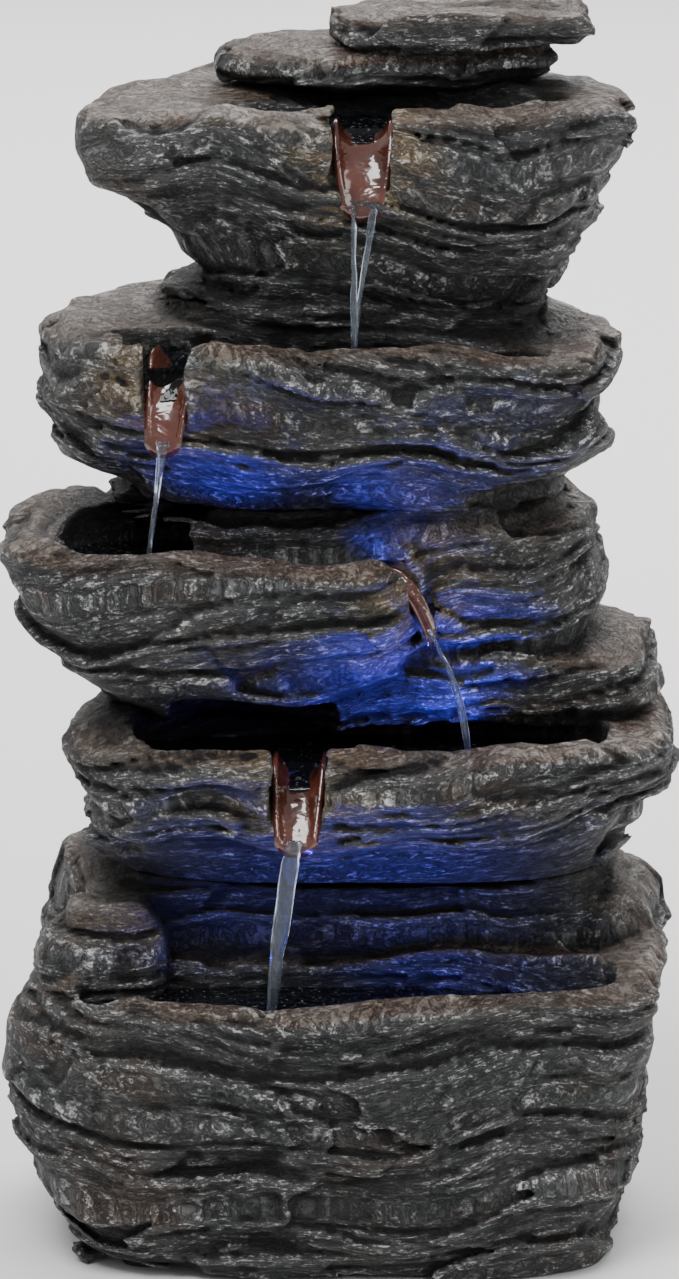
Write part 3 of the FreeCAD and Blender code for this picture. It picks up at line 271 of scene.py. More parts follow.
# Boxes in millimetres round the inner works and the thinnest walls: (x0, x1, y0, y1, z0, z1).
PLAIN = [
    (-80, 82, -24, 73.5, 6, 86),
    (-53, 78, -16, 74, 84, 119),
    (-53, 78, -2, 71, 117, 165),
    (-15, 25, 19, 61, 160, 372),
    (-31, 47, 62, 90, 125, 167),
    (-56, -34, -53, -31, 202, 216),
    (27, 49, -41, -19, 140, 154),
    (-62, 82, -46, 8, 119, 144),
    (-3, 13, -12, 24, 349, 365),
    (-45, -25, 70, 90, 87, 107),
    (-22, 22, -40, -12, 8, 36),
]


def plainness(x, y, z, soft=3.0):
    """1 inside the boxes, falling to 0 over a few millimetres outside them."""
    most = np.zeros_like(x)
    for x0, x1, y0, y1, z0, z1 in PLAIN:
        gap = np.maximum.reduce([x0 - x, x - x1, y0 - y, y - y1, z0 - z, z - z1])
        most = np.maximum(most, 1 - smoothstep(0, soft, gap))
    return most


HEART = (0.0, 22.0)     # x and y of the hollow column's middle
DEEPEST = 4.6           # the most that the relief cuts in or stands out
REACH = 8.0             # how far from the surface the carving works
COARSE = 4.0            # voxel of the field that says how crowded a place is


class Crowding:
    """How much rock stands round any place: 0 in the open, towards 1 in a deep recess."""

    def __init__(self, nodes, reach=24.0):
        low, high = (np.array(corner) / MM for corner in START_BOX)
        self.low = np.floor(low / COARSE).astype(int) - 8
        size = np.ceil(high / COARSE).astype(int) + 8 - self.low
        full = np.zeros(tuple(size), dtype=np.float32)
        for node in nodes:
            field = Field(frame["nodes"][node], COARSE, 3 * COARSE)
            share = np.clip(0.5 - field.values / COARSE, 0, 1)
            at = field.low - self.low
            part = tuple(slice(a, a + n) for a, n in zip(at, share.shape))
            full[part] = np.maximum(full[part], share)
        width = int(reach / COARSE / 2)
        for _ in range(2):
            for axis in range(3):
                full = sum(np.roll(full, shift, axis) for shift in range(-width, width + 1)) / (2 * width + 1)
        self.full = full

    def at(self, points):
        p = points / COARSE - self.low
        f = np.clip(p - np.floor(p), 0, 1)
        i = np.clip(np.floor(p).astype(int), 0, np.array(self.full.shape) - 2)
        out = 0.0
        for dx in (0, 1):
            for dy in (0, 1):
                for dz in (0, 1):
                    weight = (np.abs(1 - dx - f[:, 0]) * np.abs(1 - dy - f[:, 1]) * np.abs(1 - dz - f[:, 2]))
                    out = out + weight * self.full[i[:, 0] + dx, i[:, 1] + dy, i[:, 2] + dz]
        return out


def sway(points):
    """A slow bend of the outside, in millimetres, the same for every casting so that joints stay closed."""
    x, y, z = points.T
    shift = np.stack([
        3.4 * value_noise(x / 46, y / 46, z / 26, 31),
        3.0 * value_noise(x / 40, y / 40, z / 22, 32),
        3.2 * value_noise(x / 36, y / 36, z / 70, 33) + 1.2 * value_noise(x / 15, y / 15, z / 30, 34),
    ], axis=1)
    hold = (1 - plainness(x, y, z, 9.0)) * smoothstep(2, 22, z)
    for px, py, pz in NOTCHES:
        gap = np.sqrt((x - px) ** 2 + (y - py) ** 2 + ((z - pz) / 1.4) ** 2)
        hold = hold * (0.15 + 0.85 * smoothstep(9, 24, gap))
    return shift * hold[:, None]


def frame_body(node):
    """The body that a CAD node is on."""
    for body, nodes in frame["record"]["behaviour"]["bodies"].items():
        if node in nodes:
            return body
    raise ValueError(node)


def carve(node, name, seed, depth):
    """The rock made from one CAD casting."""
    field = Field(frame["nodes"][node], ROCK_VOXEL, REACH + 1.5)
    slope = np.gradient(field.blurred(3.0), ROCK_VOXEL)
    up = slope[2]
    index, (x, y, z) = field.near(REACH)
    flat = smoothstep(0.72, 0.95, np.abs(up[index]))
    # faces that look inwards, into the pump chamber and the hollow column, stay plain
    away = np.hypot(x - HEART[0], y - HEART[1]) + 1e-3
    inwards = -(slope[0][index] * (x - HEART[0]) + slope[1][index] * (y - HEART[1])) / away
    lining = smoothstep(0.05, 0.5, inwards)
    push = strata(x, y, z, bedding(x, y, z, seed), seed)
    push = DEEPEST * np.tanh(push / DEEPEST)
    rim = 1.1 * value_noise(x / 14, y / 14, z / 14, seed + 20)
    rim += 0.45 * value_noise(x / 2.6, y / 2.6, z / 2.6, seed + 21)
    push = push * (1 - 0.8 * flat) + rim * flat
    # the relief fades out round the notches, so that no ledge hides a spout
    mouth = np.min([np.sqrt((x - px) ** 2 + (y - py) ** 2 + ((z - pz) / 1.5) ** 2)
                    for px, py, pz in NOTCHES], axis=0)
    push *= depth * (1 - plainness(x, y, z)) * (1 - 0.85 * lining) * smoothstep(6, 17, mouth)
    field.values[index] -= push
    field.values = field.values.astype(np.float32)
    near_blur = field.blurred(ROCK_VOXEL * 0.9)
    field.values = (0.6 * field.values + 0.4 * near_blur).astype(np.float32)
    points, triangles, quads = field.mesh(0.02)
    obj = build_mesh(name, points + sway(points), triangles, quads)
    paint(obj, "edge", field.sample(field.blurred(2.2), points))
    paint(obj, "broad", field.sample(field.blurred(6.0), points))
    paint(obj, "up", field.sample(up, points))
    facing = np.stack([field.sample(part, points) for part in slope], axis=1)
    # crowd: how much rock stands round each point; the rock material paints shade from it
    paint(obj, "crowd", CROWD.at(points + 13.0 * facing + np.array((0, 0, 5.0))))
    px, py, pz = points.T
    paint(obj, "grainline", bedding(px, py, pz, seed) * MM)
    spout_gap = np.min([np.linalg.norm((points - np.array(p)) / np.array((1.0, 1.0, 1.3)), axis=1)
                        for p in NOTCHES], axis=0)
    paint(obj, "notch", spout_gap)
    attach(obj, frame_body(node))
    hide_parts(node)
    return obj


# ---------------------------------------------------------------- materials

def node_tree(name):
    material = bpy.data.materials.new(name)
    material.use_nodes = True
    tree = material.node_tree
    tree.nodes.clear()
    return material, tree


class Maker:
    """Short ways to add and join shader nodes."""

    def __init__(self, tree):
        self.tree = tree

    def add(self, kind, **settings):
        made = self.tree.nodes.new(kind)
        for key, value in settings.items():
            setattr(made, key, value)
        return made

    def join(self, source, target):
        self.tree.links.new(source, target)

    def put(self, socket, value):
        if isinstance(value, bpy.types.NodeSocket):
            self.join(value, socket)
        else:
            socket.default_value = value

    def attribute(self, name):
        return self.add("ShaderNodeAttribute", attribute_name=name).outputs["Fac"]

    def math(self, operation, a, b=0.0, clamp=False):
        made = self.add("ShaderNodeMath", operation=operation, use_clamp=clamp)
        self.put(made.inputs[0], a)
        self.put(made.inputs[1], b)
        return made.outputs[0]

    def remap(self, value, low, high, to_low=0.0, to_high=1.0):
        made = self.add("ShaderNodeMapRange", interpolation_type="SMOOTHSTEP")
        self.put(made.inputs["Value"], value)
        made.inputs["From Min"].default_value = low
        made.inputs["From Max"].default_value = high
        made.inputs["To Min"].default_value = to_low
        made.inputs["To Max"].default_value = to_high
        return made.outputs["Result"]

    def mix(self, factor, a, b, blend="MIX"):
        made = self.add("ShaderNodeMix", data_type="RGBA", blend_type=blend)
        self.put(made.inputs["Factor"], factor)
        for socket, value in ((made.inputs["A"], a), (made.inputs["B"], b)):
            target = [s for s in made.inputs if s.name == socket.name and s.type == "RGBA"][0]
            self.put(target, value if isinstance(value, bpy.types.NodeSocket) else (*value, 1.0))
        return [s for s in made.outputs if s.type == "RGBA"][0]

    def coords(self, scale):
        where = self.add("ShaderNodeTexCoord")
        mapping = self.add("ShaderNodeMapping")
        mapping.inputs["Scale"].default_value = scale
        self.join(where.outputs["Object"], mapping.inputs["Vector"])
        return mapping.outputs["Vector"]

    def along_beds(self, name):
        """Object coordinates whose height follows the beds."""
        where = self.add("ShaderNodeTexCoord")
        apart = self.add("ShaderNodeSeparateXYZ")
        self.join(where.outputs["Object"], apart.inputs[0])
        together = self.add("ShaderNodeCombineXYZ")
        self.join(apart.outputs["X"], together.inputs["X"])
        self.join(apart.outputs["Y"], together.inputs["Y"])
        self.join(self.attribute(name), together.inputs["Z"])
        return together.outputs[0]

    def stretched(self, vector, scale):
        mapping = self.add("ShaderNodeMapping")
        mapping.inputs["Scale"].default_value = scale
        self.join(vector, mapping.inputs["Vector"])
        return mapping.outputs["Vector"]

    def noise(self, scale, detail=4.0, rough=0.6, stretch=(1, 1, 1), distortion=0.0, vector=None):
        made = self.add("ShaderNodeTexNoise")
        self.join(vector or self.coords(stretch), made.inputs["Vector"])
        made.inputs["Scale"].default_value = scale
        made.inputs["Detail"].default_value = detail
        made.inputs["Roughness"].default_value = rough
        made.inputs["Distortion"].default_value = distortion
        return made.outputs["Fac"]

    def bump(self, height, strength, distance, before=None):
        made = self.add("ShaderNodeBump")
        self.put(made.inputs["Height"], height)
        made.inputs["Strength"].default_value = strength
        made.inputs["Distance"].default_value = distance
        if before is not None:
            self.join(before, made.inputs["Normal"])
        return made.outputs["Normal"]

    def surface(self, **sockets):
        shader = self.add("ShaderNodeBsdfPrincipled")
        for key, value in sockets.items():
            name = key.replace("_", " ")
            if isinstance(value, tuple) and len(value) == 3:
                value = (*value, 1.0)
            self.put(shader.inputs[name], value)
        out = self.add("ShaderNodeOutputMaterial")
        self.join(shader.outputs[0], out.inputs["Surface"])
        return shader


# Paints of the rock
CHARCOAL = (0.012, 0.0125, 0.014)
SLATE = (0.050, 0.053, 0.056)
GREENISH = (0.040, 0.047, 0.042)
UMBER = (0.046, 0.028, 0.019)
TAUPE = (0.185, 0.125, 0.092)
PALE = (0.60, 0.60, 0.59)
OCHRE = (0.27, 0.19, 0.09)
# near black: the paint of the fine cracks, and painted shade in creases and hollows
BLACK = (0.003, 0.003, 0.0035)
SMOKE = (0.075, 0.074, 0.070)
DUST = (0.215, 0.185, 0.160)
EARTH = (0.075, 0.050, 0.037)
# near black for the painted shade in crowded recesses
RECESS_SHADE = (0.007, 0.006, 0.006)


def rock_material():
    material, tree = node_tree("dry_brushed_rock")
    m = Maker(tree)
    edge = m.attribute("edge")
    broad = m.attribute("broad")
    up = m.attribute("up")
    along = m.along_beds("grainline")
    fibre = m.noise(150, 6, 0.72, vector=m.stretched(along, (1, 1, 7)))
    streak = m.noise(45, 5, 0.68, vector=m.stretched(along, (1, 1, 5)))
    cloud = m.noise(24, 4, 0.6, (1, 1, 2))
    patch = m.noise(11, 3, 0.6)
    stain = m.noise(19, 4, 0.65, (1, 1, 1.8))
    grain = m.noise(700, 4, 0.75, (1, 1, 1.4))
    thread = m.noise(210, 5, 0.75, vector=m.stretched(along, (1, 1, 5)), distortion=0.6)
    flat = m.remap(up, 0.35, 0.80)
    # dark wash, with tints in patches
    base = m.mix(m.remap(fibre, 0.36, 0.66), CHARCOAL, SLATE)
    base = m.mix(m.remap(cloud, 0.42, 0.68, 0, 0.6), base, SMOKE)
    base = m.mix(m.remap(patch, 0.50, 0.66, 0, 0.55), base, GREENISH)
    base = m.mix(m.remap(stain, 0.52, 0.68, 0, 0.9), base, UMBER)
    speckle = m.remap(grain, 0.38, 0.66)
    top = m.mix(speckle, EARTH, TAUPE)
    top = m.mix(m.remap(cloud, 0.45, 0.66, 0, 0.8), top, DUST)
    base = m.mix(m.math("MULTIPLY", flat, 0.9), base, top)
    near_notch = m.math("MULTIPLY", m.remap(m.attribute("notch"), 34, 12), m.remap(streak, 0.42, 0.60))
    base = m.mix(m.math("MULTIPLY", near_notch, 0.62), base, OCHRE)
    # dry brush on what stands proud, painted shade in what lies deep
    proud = m.remap(edge, 0.02, 0.55)
    mottle = m.math("ADD", m.math("MULTIPLY", thread, 0.55), m.math("MULTIPLY", grain, 0.45))
    tips = m.remap(mottle, 0.52, 0.60)
    everywhere = m.math("MULTIPLY", tips, m.remap(streak, 0.40, 0.62, 0.08, 0.62))
    brush = m.math("ADD", m.math("MULTIPLY", proud, m.remap(tips, 0, 1, 0.12, 0.85)), everywhere, clamp=True)
    brush = m.math("MULTIPLY", brush, m.remap(flat, 0, 1, 0.85, 0.40))
    base = m.mix(brush, base, PALE)
    crack = m.math("ABSOLUTE", m.math("SUBTRACT", thread, 0.47))
    base = m.mix(m.remap(crack, 0.022, 0.0, 0, 0.85), base, BLACK)
    # painted shade: near black in concave creases and in broad hollows
    dip = m.remap(edge, 0.05, -0.6)
    base = m.mix(m.math("MULTIPLY", dip, 0.95), base, BLACK)
    deep = m.remap(broad, 0.0, -2.4)
    base = m.mix(m.math("MULTIPLY", deep, 0.8), base, BLACK)
    # painted shade: near black where much rock crowds round, under and between the tiers
    shaded = m.remap(m.attribute("crowd"), 0.15, 0.38)
    base = m.mix(m.math("MULTIPLY", shaded, 0.84), base, RECESS_SHADE)
    rough = m.remap(grain, 0.3, 0.7, 0.38, 0.7)
    normal = m.bump(streak, 0.8, 0.003)
    normal = m.bump(fibre, 1.0, 0.0018, normal)
    normal = m.bump(m.remap(crack, 0.0, 0.05), 1.0, 0.0007, normal)
    normal = m.bump(grain, 0.7, 0.0007, normal)
    m.surface(Base_Color=base, Roughness=rough, Normal=normal, Specular_IOR_Level=0.4)
    return material


def wet_clay_material():
    """The glazed, wet spouts."""
    material, tree = node_tree("wet_terracotta")
    m = Maker(tree)
    cloud = m.noise(60, 4, 0.6)
    fine = m.noise(240, 3, 0.6)
    base = m.mix(m.remap(cloud, 0.35, 0.7), (0.045, 0.011, 0.006), (0.100, 0.026, 0.015))
    base = m.mix(m.remap(fine, 0.5, 0.75, 0, 0.5), base, (0.028, 0.009, 0.007))
    ripple = m.noise(130, 2, 0.5, (1, 1, 1.6), 0.6)
    normal = m.bump(ripple, 0.55, 0.0012)
    m.surface(Base_Color=base, Roughness=m.remap(fine, 0.3, 0.7, 0.1, 0.3), Normal=normal,
              Coat_Weight=1.0, Coat_Roughness=0.03, Coat_Normal=normal)
    return material


def water_material(name, clear, tint):
    material, tree = node_tree(name)
    m = Maker(tree)
    ripple = m.noise(180, 3, 0.55)
    fine = m.noise(700, 2, 0.5)
    normal = m.bump(ripple, 0.35, 0.0008)
    base = m.mix(m.remap(fine, 0.60, 0.78), tint, (0.7, 0.75, 0.8))
    m.surface(Base_Color=base, Roughness=m.remap(fine, 0.3, 0.7, 0.02, 0.06), Normal=normal, IOR=1.33,
              Transmission_Weight=clear)
    return material


def simple_material(slot, color, rough, metallic=0.0, scale=400, bump=0.3, emit=None):
    material, tree = node_tree(slot + "_look")
    m = Maker(tree)
    grain = m.noise(scale, 4, 0.6)
    cloud = m.noise(scale / 8, 3, 0.6)
    darker = tuple(0.72 * c for c in color)
    base = m.mix(m.remap(cloud, 0.35, 0.65), darker, color)
    sockets = dict(Base_Color=base, Roughness=m.remap(grain, 0.3, 0.7, rough * 0.8, min(rough * 1.25, 1)),
                   Metallic=metallic, Normal=m.bump(grain, bump, 0.0002))
    if emit:
        sockets.update(Emission_Color=emit[0], Emission_Strength=emit[1])
    m.surface(**sockets)
    return material


ROCK = rock_material()
ROCKS = [
    ("base_basin", "rock_base", 3),
    ("lower_bowl", "rock_lower", 11),
    ("middle_bowl", "rock_middle", 23),
    ("upper_bowl", "rock_upper", 31),
    ("top_bowl", "rock_top", 43),
    ("crown_slab_lower", "rock_crown_low", 57),
    ("crown_slab_upper", "rock_crown_high", 61),
    ("access_door", "rock_door", 71),
]
CROWD = Crowding([row[0] for row in ROCKS])
for node, name, seed in ROCKS:
    piece = carve(node, name, seed, depth=0.6 if node == "access_door" else 1.0)
    piece.data.materials.append(ROCK)

# ---------------------------------------------------------------- spouts

def plain_mesh(name, verts, faces):
    mesh = bpy.data.meshes.new(name)
    mesh.from_pydata([[c * MM for c in v] for v in verts], [], faces)
    mesh.shade_smooth()
    mesh.update()
    obj = bpy.data.objects.new(name, mesh)
    bpy.context.scene.collection.objects.link(obj)
    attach(obj, "fountain")
    return obj


CLAY = wet_clay_material()
STILL = water_material("pool_water", 0.75, (0.012, 0.014, 0.018))
FALLING = water_material("falling_water", 0.97, (0.72, 0.82, 0.95))

FORWARD = -math.pi / 2
# Each spout: x and y where it crosses the rim, which way it points, and its stations: distance along the
# flow, height of the bottom, half width, height of the side edges.  Millimetres.
SPOUTS = {
    "top": (7.5, -42.0, FORWARD, [
        (-12, 361.0, 8.2, 367), (-3, 359.0, 8.4, 366), (4, 351.0, 7.8, 356), (8.5, 339.5, 5.8, 343)]),
    "upper": (-53.0, -48.0, FORWARD - 0.30, [
        (-13, 289.5, 8.2, 295), (-4, 286.5, 7.4, 293), (3.5, 277.0, 6.0, 281), (8.5, 265.5, 4.6, 268.5)]),
    "middle": (21.0, -44.0, -0.40, [
        (-12, 220.0, 5.0, 225), (-3, 218.0, 4.8, 223), (4, 212.0, 4.2, 216), (9, 203.0, 3.4, 206)]),
    "lower": (-13.0, -62.0, FORWARD - 0.06, [
        (-12, 160.0, 7.4, 167), (-3, 157.5, 7.2, 165), (5, 149.0, 6.4, 153), (11, 140.5, 5.4, 143.5)]),
}


def curve_through(rows, f):
    """The point at f, from 0 to 1, on a smooth curve through rows of numbers."""
    rows = np.array(rows, dtype=float)
    place = f * (len(rows) - 1)
    k = min(int(place), len(rows) - 2)
    t = place - k
    before, after = rows[max(k - 1, 0)], rows[min(k + 2, len(rows) - 1)]
    a, b = rows[k], rows[k + 1]
    return (2 * a + (b - before) * t + (2 * before - 5 * a + 4 * b - after) * t ** 2
            + (3 * a - before - 3 * b + after) * t ** 3) / 2


def bumpy(x, y, z, seed):
    """One value of the noise."""
    return float(value_noise(np.array([x]), np.array([y]), np.array([z]), seed)[0])


def tube_of_rings(name, rings):
    """A closed skin over rings of points that all have the same count."""
    count = len(rings[0])
    verts = [tuple(p) for ring in rings for p in ring]
    faces = []
    for i in range(len(rings) - 1):
        for j in range(count):
            k = (j + 1) % count
            a, b = i * count, (i + 1) * count
            faces.append((a + j, a + k, b + k, b + j))
    last = (len(rings) - 1) * count
    faces.append(tuple(reversed(range(count))))
    faces.append(tuple(last + j for j in range(count)))
    return plain_mesh(name, verts, faces)


def tongue(name, row, wall=1.9, steps=60, across=26):
    """A spout: a shallow trough that steepens to its lip, with an uneven, hand-smoothed face."""
    x0, y0, heading, stations = row
    flow = (math.cos(heading), math.sin(heading))
    rings = []
    for i in range(steps + 1):
        f = i / steps
        along, z, half, edge = curve_through(stations, f)
        lip = 0.8 * max(0.0, (f - 0.93) / 0.07) ** 2
        ring = []
        for side, grow in ((1, 0.0), (-1, wall)):
            for j in range(across + 1):
                u = side * (2 * j / across - 1)
                rise = (edge - z) * abs(u) ** 3.0
                lump = 0.3 * bumpy(u * 1.7, along / 5, grow, 60)
                lump += 0.16 * bumpy(u * 4.5, along / 1.9, grow, 61)
                shift = u * (half + grow * 0.8)
                height = z + rise - grow * (1 - 0.5 * abs(u) ** 3) + lump * (grow == 0) - lip
                x = x0 + flow[0] * along - flow[1] * shift
                y = y0 + flow[1] * along + flow[0] * shift
                ring.append((x, y, height))
        rings.append(ring)
    obj = tube_of_rings("tongue_" + name, rings)
    obj.data.materials.append(CLAY)
    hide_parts(name + "_spout")
    return obj


# ---------------------------------------------------------------- water

def superellipse(left, right, front, back, power, a):
    """A place at angle a on an outline between an ellipse, power 2, and a box."""
    c, s = math.cos(a), math.sin(a)
    x = (left + right) / 2 + (right - left) / 2 * math.copysign(abs(c) ** (2 / power), c)
    y = (front + back) / 2 + (back - front) / 2 * math.copysign(abs(s) ** (2 / power), s)
    return x, y


def trough_floor(row, x, y):
    """The height of a spout's floor under a place, or None beside the spout."""
    x0, y0, heading, stations = row
    along = (x - x0) * math.cos(heading) + (y - y0) * math.sin(heading)
    aside = (y - y0) * math.cos(heading) - (x - x0) * math.sin(heading)
    reaches = [station[0] for station in stations]
    if abs(aside) > 11 or along < reaches[0]:
        return None
    return float(np.interp(along, reaches, [station[1] for station in stations]))


def pool(name, sides, power, level, landing, strength, spout=None):
    """A closed slab of water that bends down into its spout, with rings round the stream's landing."""
    rings, around, thick = 44, 150, 2.0
    left, right, front, back = sides
    verts, faces = [], []
    cx, cy = (left + right) / 2, (front + back) / 2

    def height(x, y):
        r = math.hypot(x - landing[0], y - landing[1])
        ring = strength * math.exp(-r / 16) * math.cos(2 * math.pi * r / 5.2)
        wave = float(value_noise(np.array([x / 7.0]), np.array([y / 7.0]), np.array([level]), 90)[0])
        chop = float(value_noise(np.array([x / 2.3]), np.array([y / 2.3]), np.array([level]), 91)[0])
        still = level + ring + 0.25 * wave + (0.12 + 0.5 * math.exp(-r / 9)) * chop * 0.6
        bed = trough_floor(SPOUTS[spout], x, y) if spout else None
        return still if bed is None else min(still, bed + 0.9 + 0.2 * chop)

    verts.append((cx, cy, height(cx, cy)))
    for i in range(1, rings + 1):
        for j in range(around):
            x, y = superellipse(left, right, front, back, power, 2 * math.pi * j / around)
            f = i / rings
            px, py = cx + (x - cx) * f, cy + (y - cy) * f
            verts.append((px, py, height(px, py)))
    low = len(verts)
    for j in range(around):
        x, y = superellipse(left, right, front, back, power, 2 * math.pi * j / around)
        verts.append((x, y, min(level, height(x, y)) - thick))
    verts.append((cx, cy, level - thick))
    for j in range(around):
        k = (j + 1) % around
        faces.append((0, 1 + j, 1 + k))
        for i in range(rings - 1):
            a = 1 + i * around
            faces.append((a + j, a + around + j, a + around + k, a + k))
        rim = 1 + (rings - 1) * around
        faces.append((rim + j, low + j, low + k, rim + k))
        faces.append((low + j, len(verts) - 1, low + k))
    return plain_mesh(name, verts, faces)


def strand(name, path, radii, flatten, seed, swirl=0.25):
    """Falling water: a tube through the path's points with a changing, uneven section."""
    steps, around = 70, 14
    rings = []
    for i in range(steps + 1):
        f = i / steps
        centre = curve_through(path, f)
        drift = [bumpy(i / 6.0, c * 9.1, seed * 3.3, 95) for c in (0, 1, 2)]
        size = (radii[0] + (radii[1] - radii[0]) * f) * (1 + swirl * drift[2])
        turn = 2.5 * f + seed
        ring = []
        for j in range(around):
            angle = 2 * math.pi * j / around
            u, v = math.cos(angle) * size, math.sin(angle) * size * flatten
            ring.append((centre[0] + u * math.cos(turn) - v * math.sin(turn) + swirl * drift[0],
                         centre[1] + u * math.sin(turn) + v * math.cos(turn) + swirl * drift[1], centre[2]))
        rings.append(ring)
    rings.reverse()
    return tube_of_rings(name, rings)


def droplets(name, centre, level, count, reach, seed):
    """Beads and bubbles thrown up where a stream lands."""
    drops = np.random.default_rng(seed)
    verts, faces = [], []
    for _ in range(count):
        a, r = drops.uniform(0, 2 * math.pi), reach * drops.uniform(0.05, 1) ** 1.3
        size = drops.uniform(0.3, 0.9)
        x, y = centre[0] + r * math.cos(a), centre[1] + 0.7 * r * math.sin(a)
        z = level + size * 0.3 + max(drops.normal(0, 1.6), 0) * math.exp(-r / 6)
        start = len(verts)
        for i in range(1, 5):
            for j in range(8):
                lat, lon = math.pi * i / 5, math.pi * j / 4
                out = size * math.sin(lat)
                verts.append((x + out * math.cos(lon), y + out * math.sin(lon), z + size * math.cos(lat)))
        top, bottom = len(verts), len(verts) + 1
        verts += [(x, y, z + size), (x, y, z - size)]
        for j in range(8):
            k = (j + 1) % 8
            faces.append((top, start + j, start + k))
            faces.append((bottom, start + 24 + k, start + 24 + j))
            for i in range(3):
                row = start + 8 * i
                faces.append((row + j, row + 8 + j, row + 8 + k, row + k))
    return plain_mesh(name, verts, faces)


for name, row in SPOUTS.items():
    tongue(name, row)

# Each pool: its sides, the roundness of its outline, the water level, where the stream lands.
POOLS = {
    "top": ((-34, 70, -38, 2.5), 2.6, 363.3, (8, -8), 0.2),
    "upper": ((-75, 66, -52.5, -22.5), 2.6, 291.8, (4.5, -49), 0.55),
    "middle": ((-90, 22, -61, -28), 2.8, 223.5, (-60, -55), 0.5),
    "middle_back": ((-90, -43, -47, 14), 2.6, 223.45, (-60, -55), 0.5),
    "lower": ((-70, 88, -61, -7), 3.2, 163.0, (41, -53), 0.5),
    "base": ((-84, 89, -77, -29.5), 3.0, 84.0, (-21, -70), 0.9),
}
for name, (sides, power, level, landing, strength) in POOLS.items():
    spout = name if name in SPOUTS else None
    pool("water_" + name, sides, power, level, landing, strength, spout).data.materials.append(STILL)

# Each stream: points down its middle, its radius at both ends, how flat it is, a seed.
STREAMS = {
    "stream_top_a": ([(4.4, -50.8, 342), (4.4, -51.6, 337), (4.6, -51, 318), (4.4, -49, 291)],
                     (1.5, 0.8), 0.55, 1),
    "stream_top_b": ([(10.6, -50.8, 342), (10.2, -51.6, 337), (6.8, -51, 316), (4.8, -49, 291)],
                     (1.3, 0.7), 0.55, 2),
    "stream_upper": ([(-55.5, -55.5, 268), (-55.8, -56.8, 264), (-58, -56.5, 247), (-61, -55.5, 222.5)],
                     (2.3, 1.3), 0.5, 3),
    "stream_middle": ([(29, -47.5, 206), (30.5, -48.6, 202), (37, -52, 187), (42, -53.5, 162)],
                      (1.7, 1.1), 0.5, 4),
    "stream_lower": ([(-14, -73, 143), (-15, -74.2, 139), (-19, -73, 112), (-22, -70, 83.5)],
                     (3.4, 2.5), 0.6, 5),
}
for name, (path, radii, flatten, seed) in STREAMS.items():
    strand(name, path, radii, flatten, seed).data.materials.append(FALLING)

# Each splash: its middle, the water level, how many drops, how far they reach.
SPLASHES = {
    "upper": ((4.5, -48.5), 291.8, 26, 7),
    "middle": ((-61, -55), 223.5, 30, 8),
    "lower": ((42, -53), 163, 40, 10),
    "base": ((-22, -69), 84, 60, 13),
}
for name, (centre, level, count, reach) in SPLASHES.items():
    droplets("splash_" + name, centre, level, count, reach, 11 + count).data.materials.append(FALLING)


# ---------------------------------------------------------------- looks of the inner works

SLOT_LOOKS = {
    "rubber": ((0.018, 0.018, 0.019), 0.7),
    "bush_rubber": ((0.05, 0.05, 0.055), 0.7),
    "lead_jacket": ((0.015, 0.015, 0.016), 0.45),
    "board": ((0.02, 0.11, 0.04), 0.35),
    "tube_vinyl": ((0.55, 0.60, 0.60), 0.2),
    "shaft_ceramic": ((0.75, 0.74, 0.70), 0.25),
    "magnet": ((0.035, 0.035, 0.038), 0.5),
    "core_steel": ((0.30, 0.30, 0.32), 0.4, 0.9),
    "coil_copper": ((0.40, 0.14, 0.05), 0.35, 0.9),
    "white_plastic": ((0.62, 0.62, 0.60), 0.45),
    "black_plastic": ((0.016, 0.016, 0.018), 0.4),
}
looks = {slot: simple_material(slot, *values) for slot, values in SLOT_LOOKS.items()}
LENS_GLOW = ((0.03, 0.08, 1.0, 1.0), 14.0)
looks["light_lens"] = simple_material("light_lens", (0.10, 0.20, 0.9), 0.1, emit=LENS_GLOW)
for row in frame["record"]["subparts"]:
    if row["material_slot"] in looks:
        mesh = frame["nodes"][row["node"]].data
        mesh.materials.clear()
        mesh.materials.append(looks[row["material_slot"]])

# ---------------------------------------------------------------- stage, light and camera

SIGHT = Vector((0.0, 0.0, 0.1926))     # what the camera looks at
ELEVATION = math.radians(12.0)
DISTANCE = 2.2
FOCAL = 191.0
BLUE = (0.045, 0.06, 1.0)
BLUE_CONE = 150         # degrees


def stage():
    bpy.ops.mesh.primitive_plane_add(size=8)
    floor = bpy.context.object
    floor.name = "studio_floor"
    material, tree = node_tree("studio_white")
    m = Maker(tree)
    m.surface(Base_Color=(0.86, 0.86, 0.86), Roughness=0.9)
    floor.data.materials.append(material)
    world = bpy.data.worlds.new("studio")
    world.use_nodes = True
    world.node_tree.nodes["Background"].inputs["Color"].default_value = (1, 1, 1, 1)
    world.node_tree.nodes["Background"].inputs["Strength"].default_value = 0.5
    bpy.context.scene.world = world


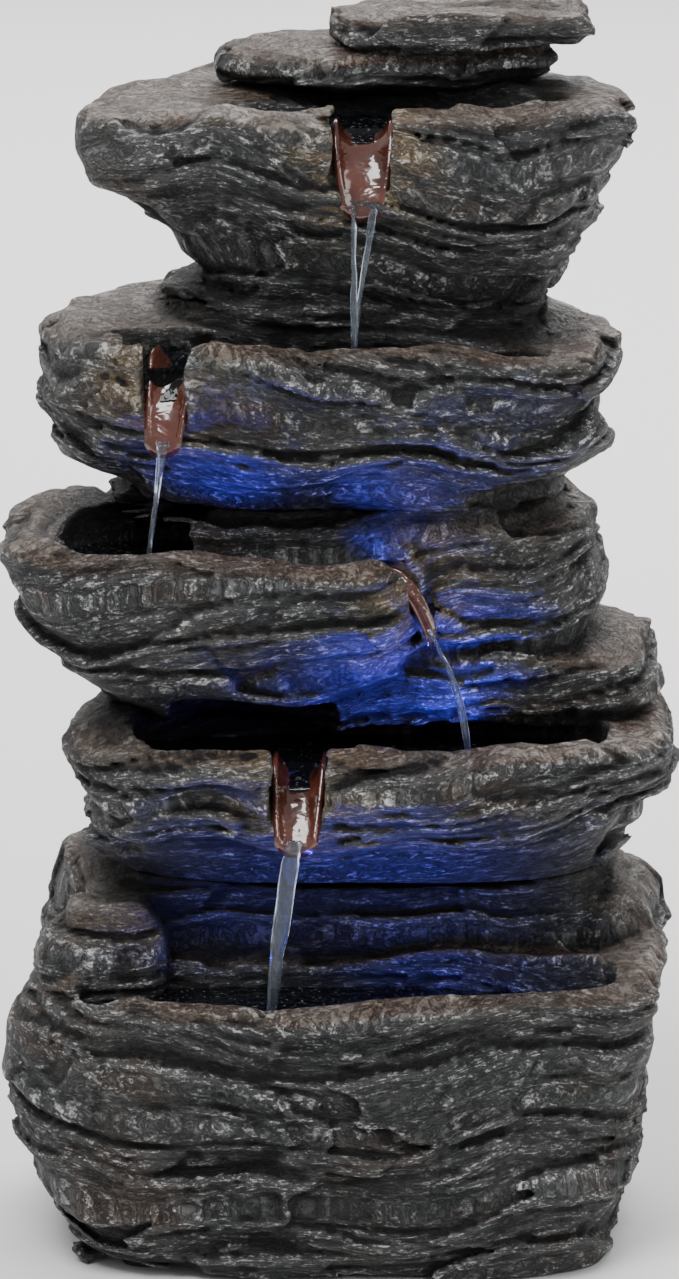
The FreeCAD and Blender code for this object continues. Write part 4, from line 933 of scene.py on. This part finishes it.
def area_light(name, place, size, power, aim=SIGHT):
    data = bpy.data.lights.new(name, "AREA")
    data.size = size
    data.energy = power
    lamp = bpy.data.objects.new(name, data)
    lamp.location = place
    lamp.rotation_euler = (aim - Vector(place)).to_track_quat("-Z", "Y").to_euler()
    bpy.context.scene.collection.objects.link(lamp)


def blue_light(name, place, aim, power):
    """One light puck's beam, from just above the water."""
    data = bpy.data.lights.new(name, "SPOT")
    data.energy = power
    data.color = BLUE
    data.shadow_soft_size = 0.006
    data.spot_size = math.radians(BLUE_CONE)
    data.spot_blend = 0.8
    lamp = bpy.data.objects.new(name, data)
    lamp.location = [v * MM for v in place]
    lamp.rotation_euler = (Vector(aim) - Vector(place)).to_track_quat("-Z", "Y").to_euler()
    bpy.context.scene.collection.objects.link(lamp)


stage()
area_light("key", (-0.6, -1.1, 2.0), 1.0, 42)
area_light("fill", (1.3, -1.3, 1.1), 1.0, 12)
area_light("rim", (0.5, 1.2, 1.5), 0.9, 18)
area_light("backdrop", (0.0, 2.6, 1.8), 2.4, 90, Vector((0.0, 2.4, 0.0)))
# Each blue beam: where it starts, what it points at, its power.
BLUES = {
    "blue_middle": ((-40, -48, 227), (-34, -56, 262), 0.20),
    "blue_middle_side": ((4, -44, 228), (30, -40, 258), 0.09),
    "blue_lower": ((42, -48, 168), (28, -44, 205), 0.34),
    "blue_lower_left": ((12, -50, 168), (2, -44, 195), 0.09),
    "blue_base": ((14, -70, 92), (22, -66, 140), 0.26),
    "blue_base_left": ((-30, -60, 92), (-36, -44, 130), 0.12),
    "blue_base_back": ((28, -62, 89), (36, -20, 102), 0.08),
}
for name, (place, aim, power) in BLUES.items():
    blue_light(name, place, aim, power)

camera = bpy.data.objects.new("camera", bpy.data.cameras.new("camera"))
camera.data.lens = FOCAL
camera.location = SIGHT + Vector((0, -math.cos(ELEVATION), math.sin(ELEVATION))) * DISTANCE
camera.rotation_euler = (SIGHT - camera.location).to_track_quat("-Z", "Y").to_euler()
bpy.context.scene.collection.objects.link(camera)
bpy.context.scene.camera = camera
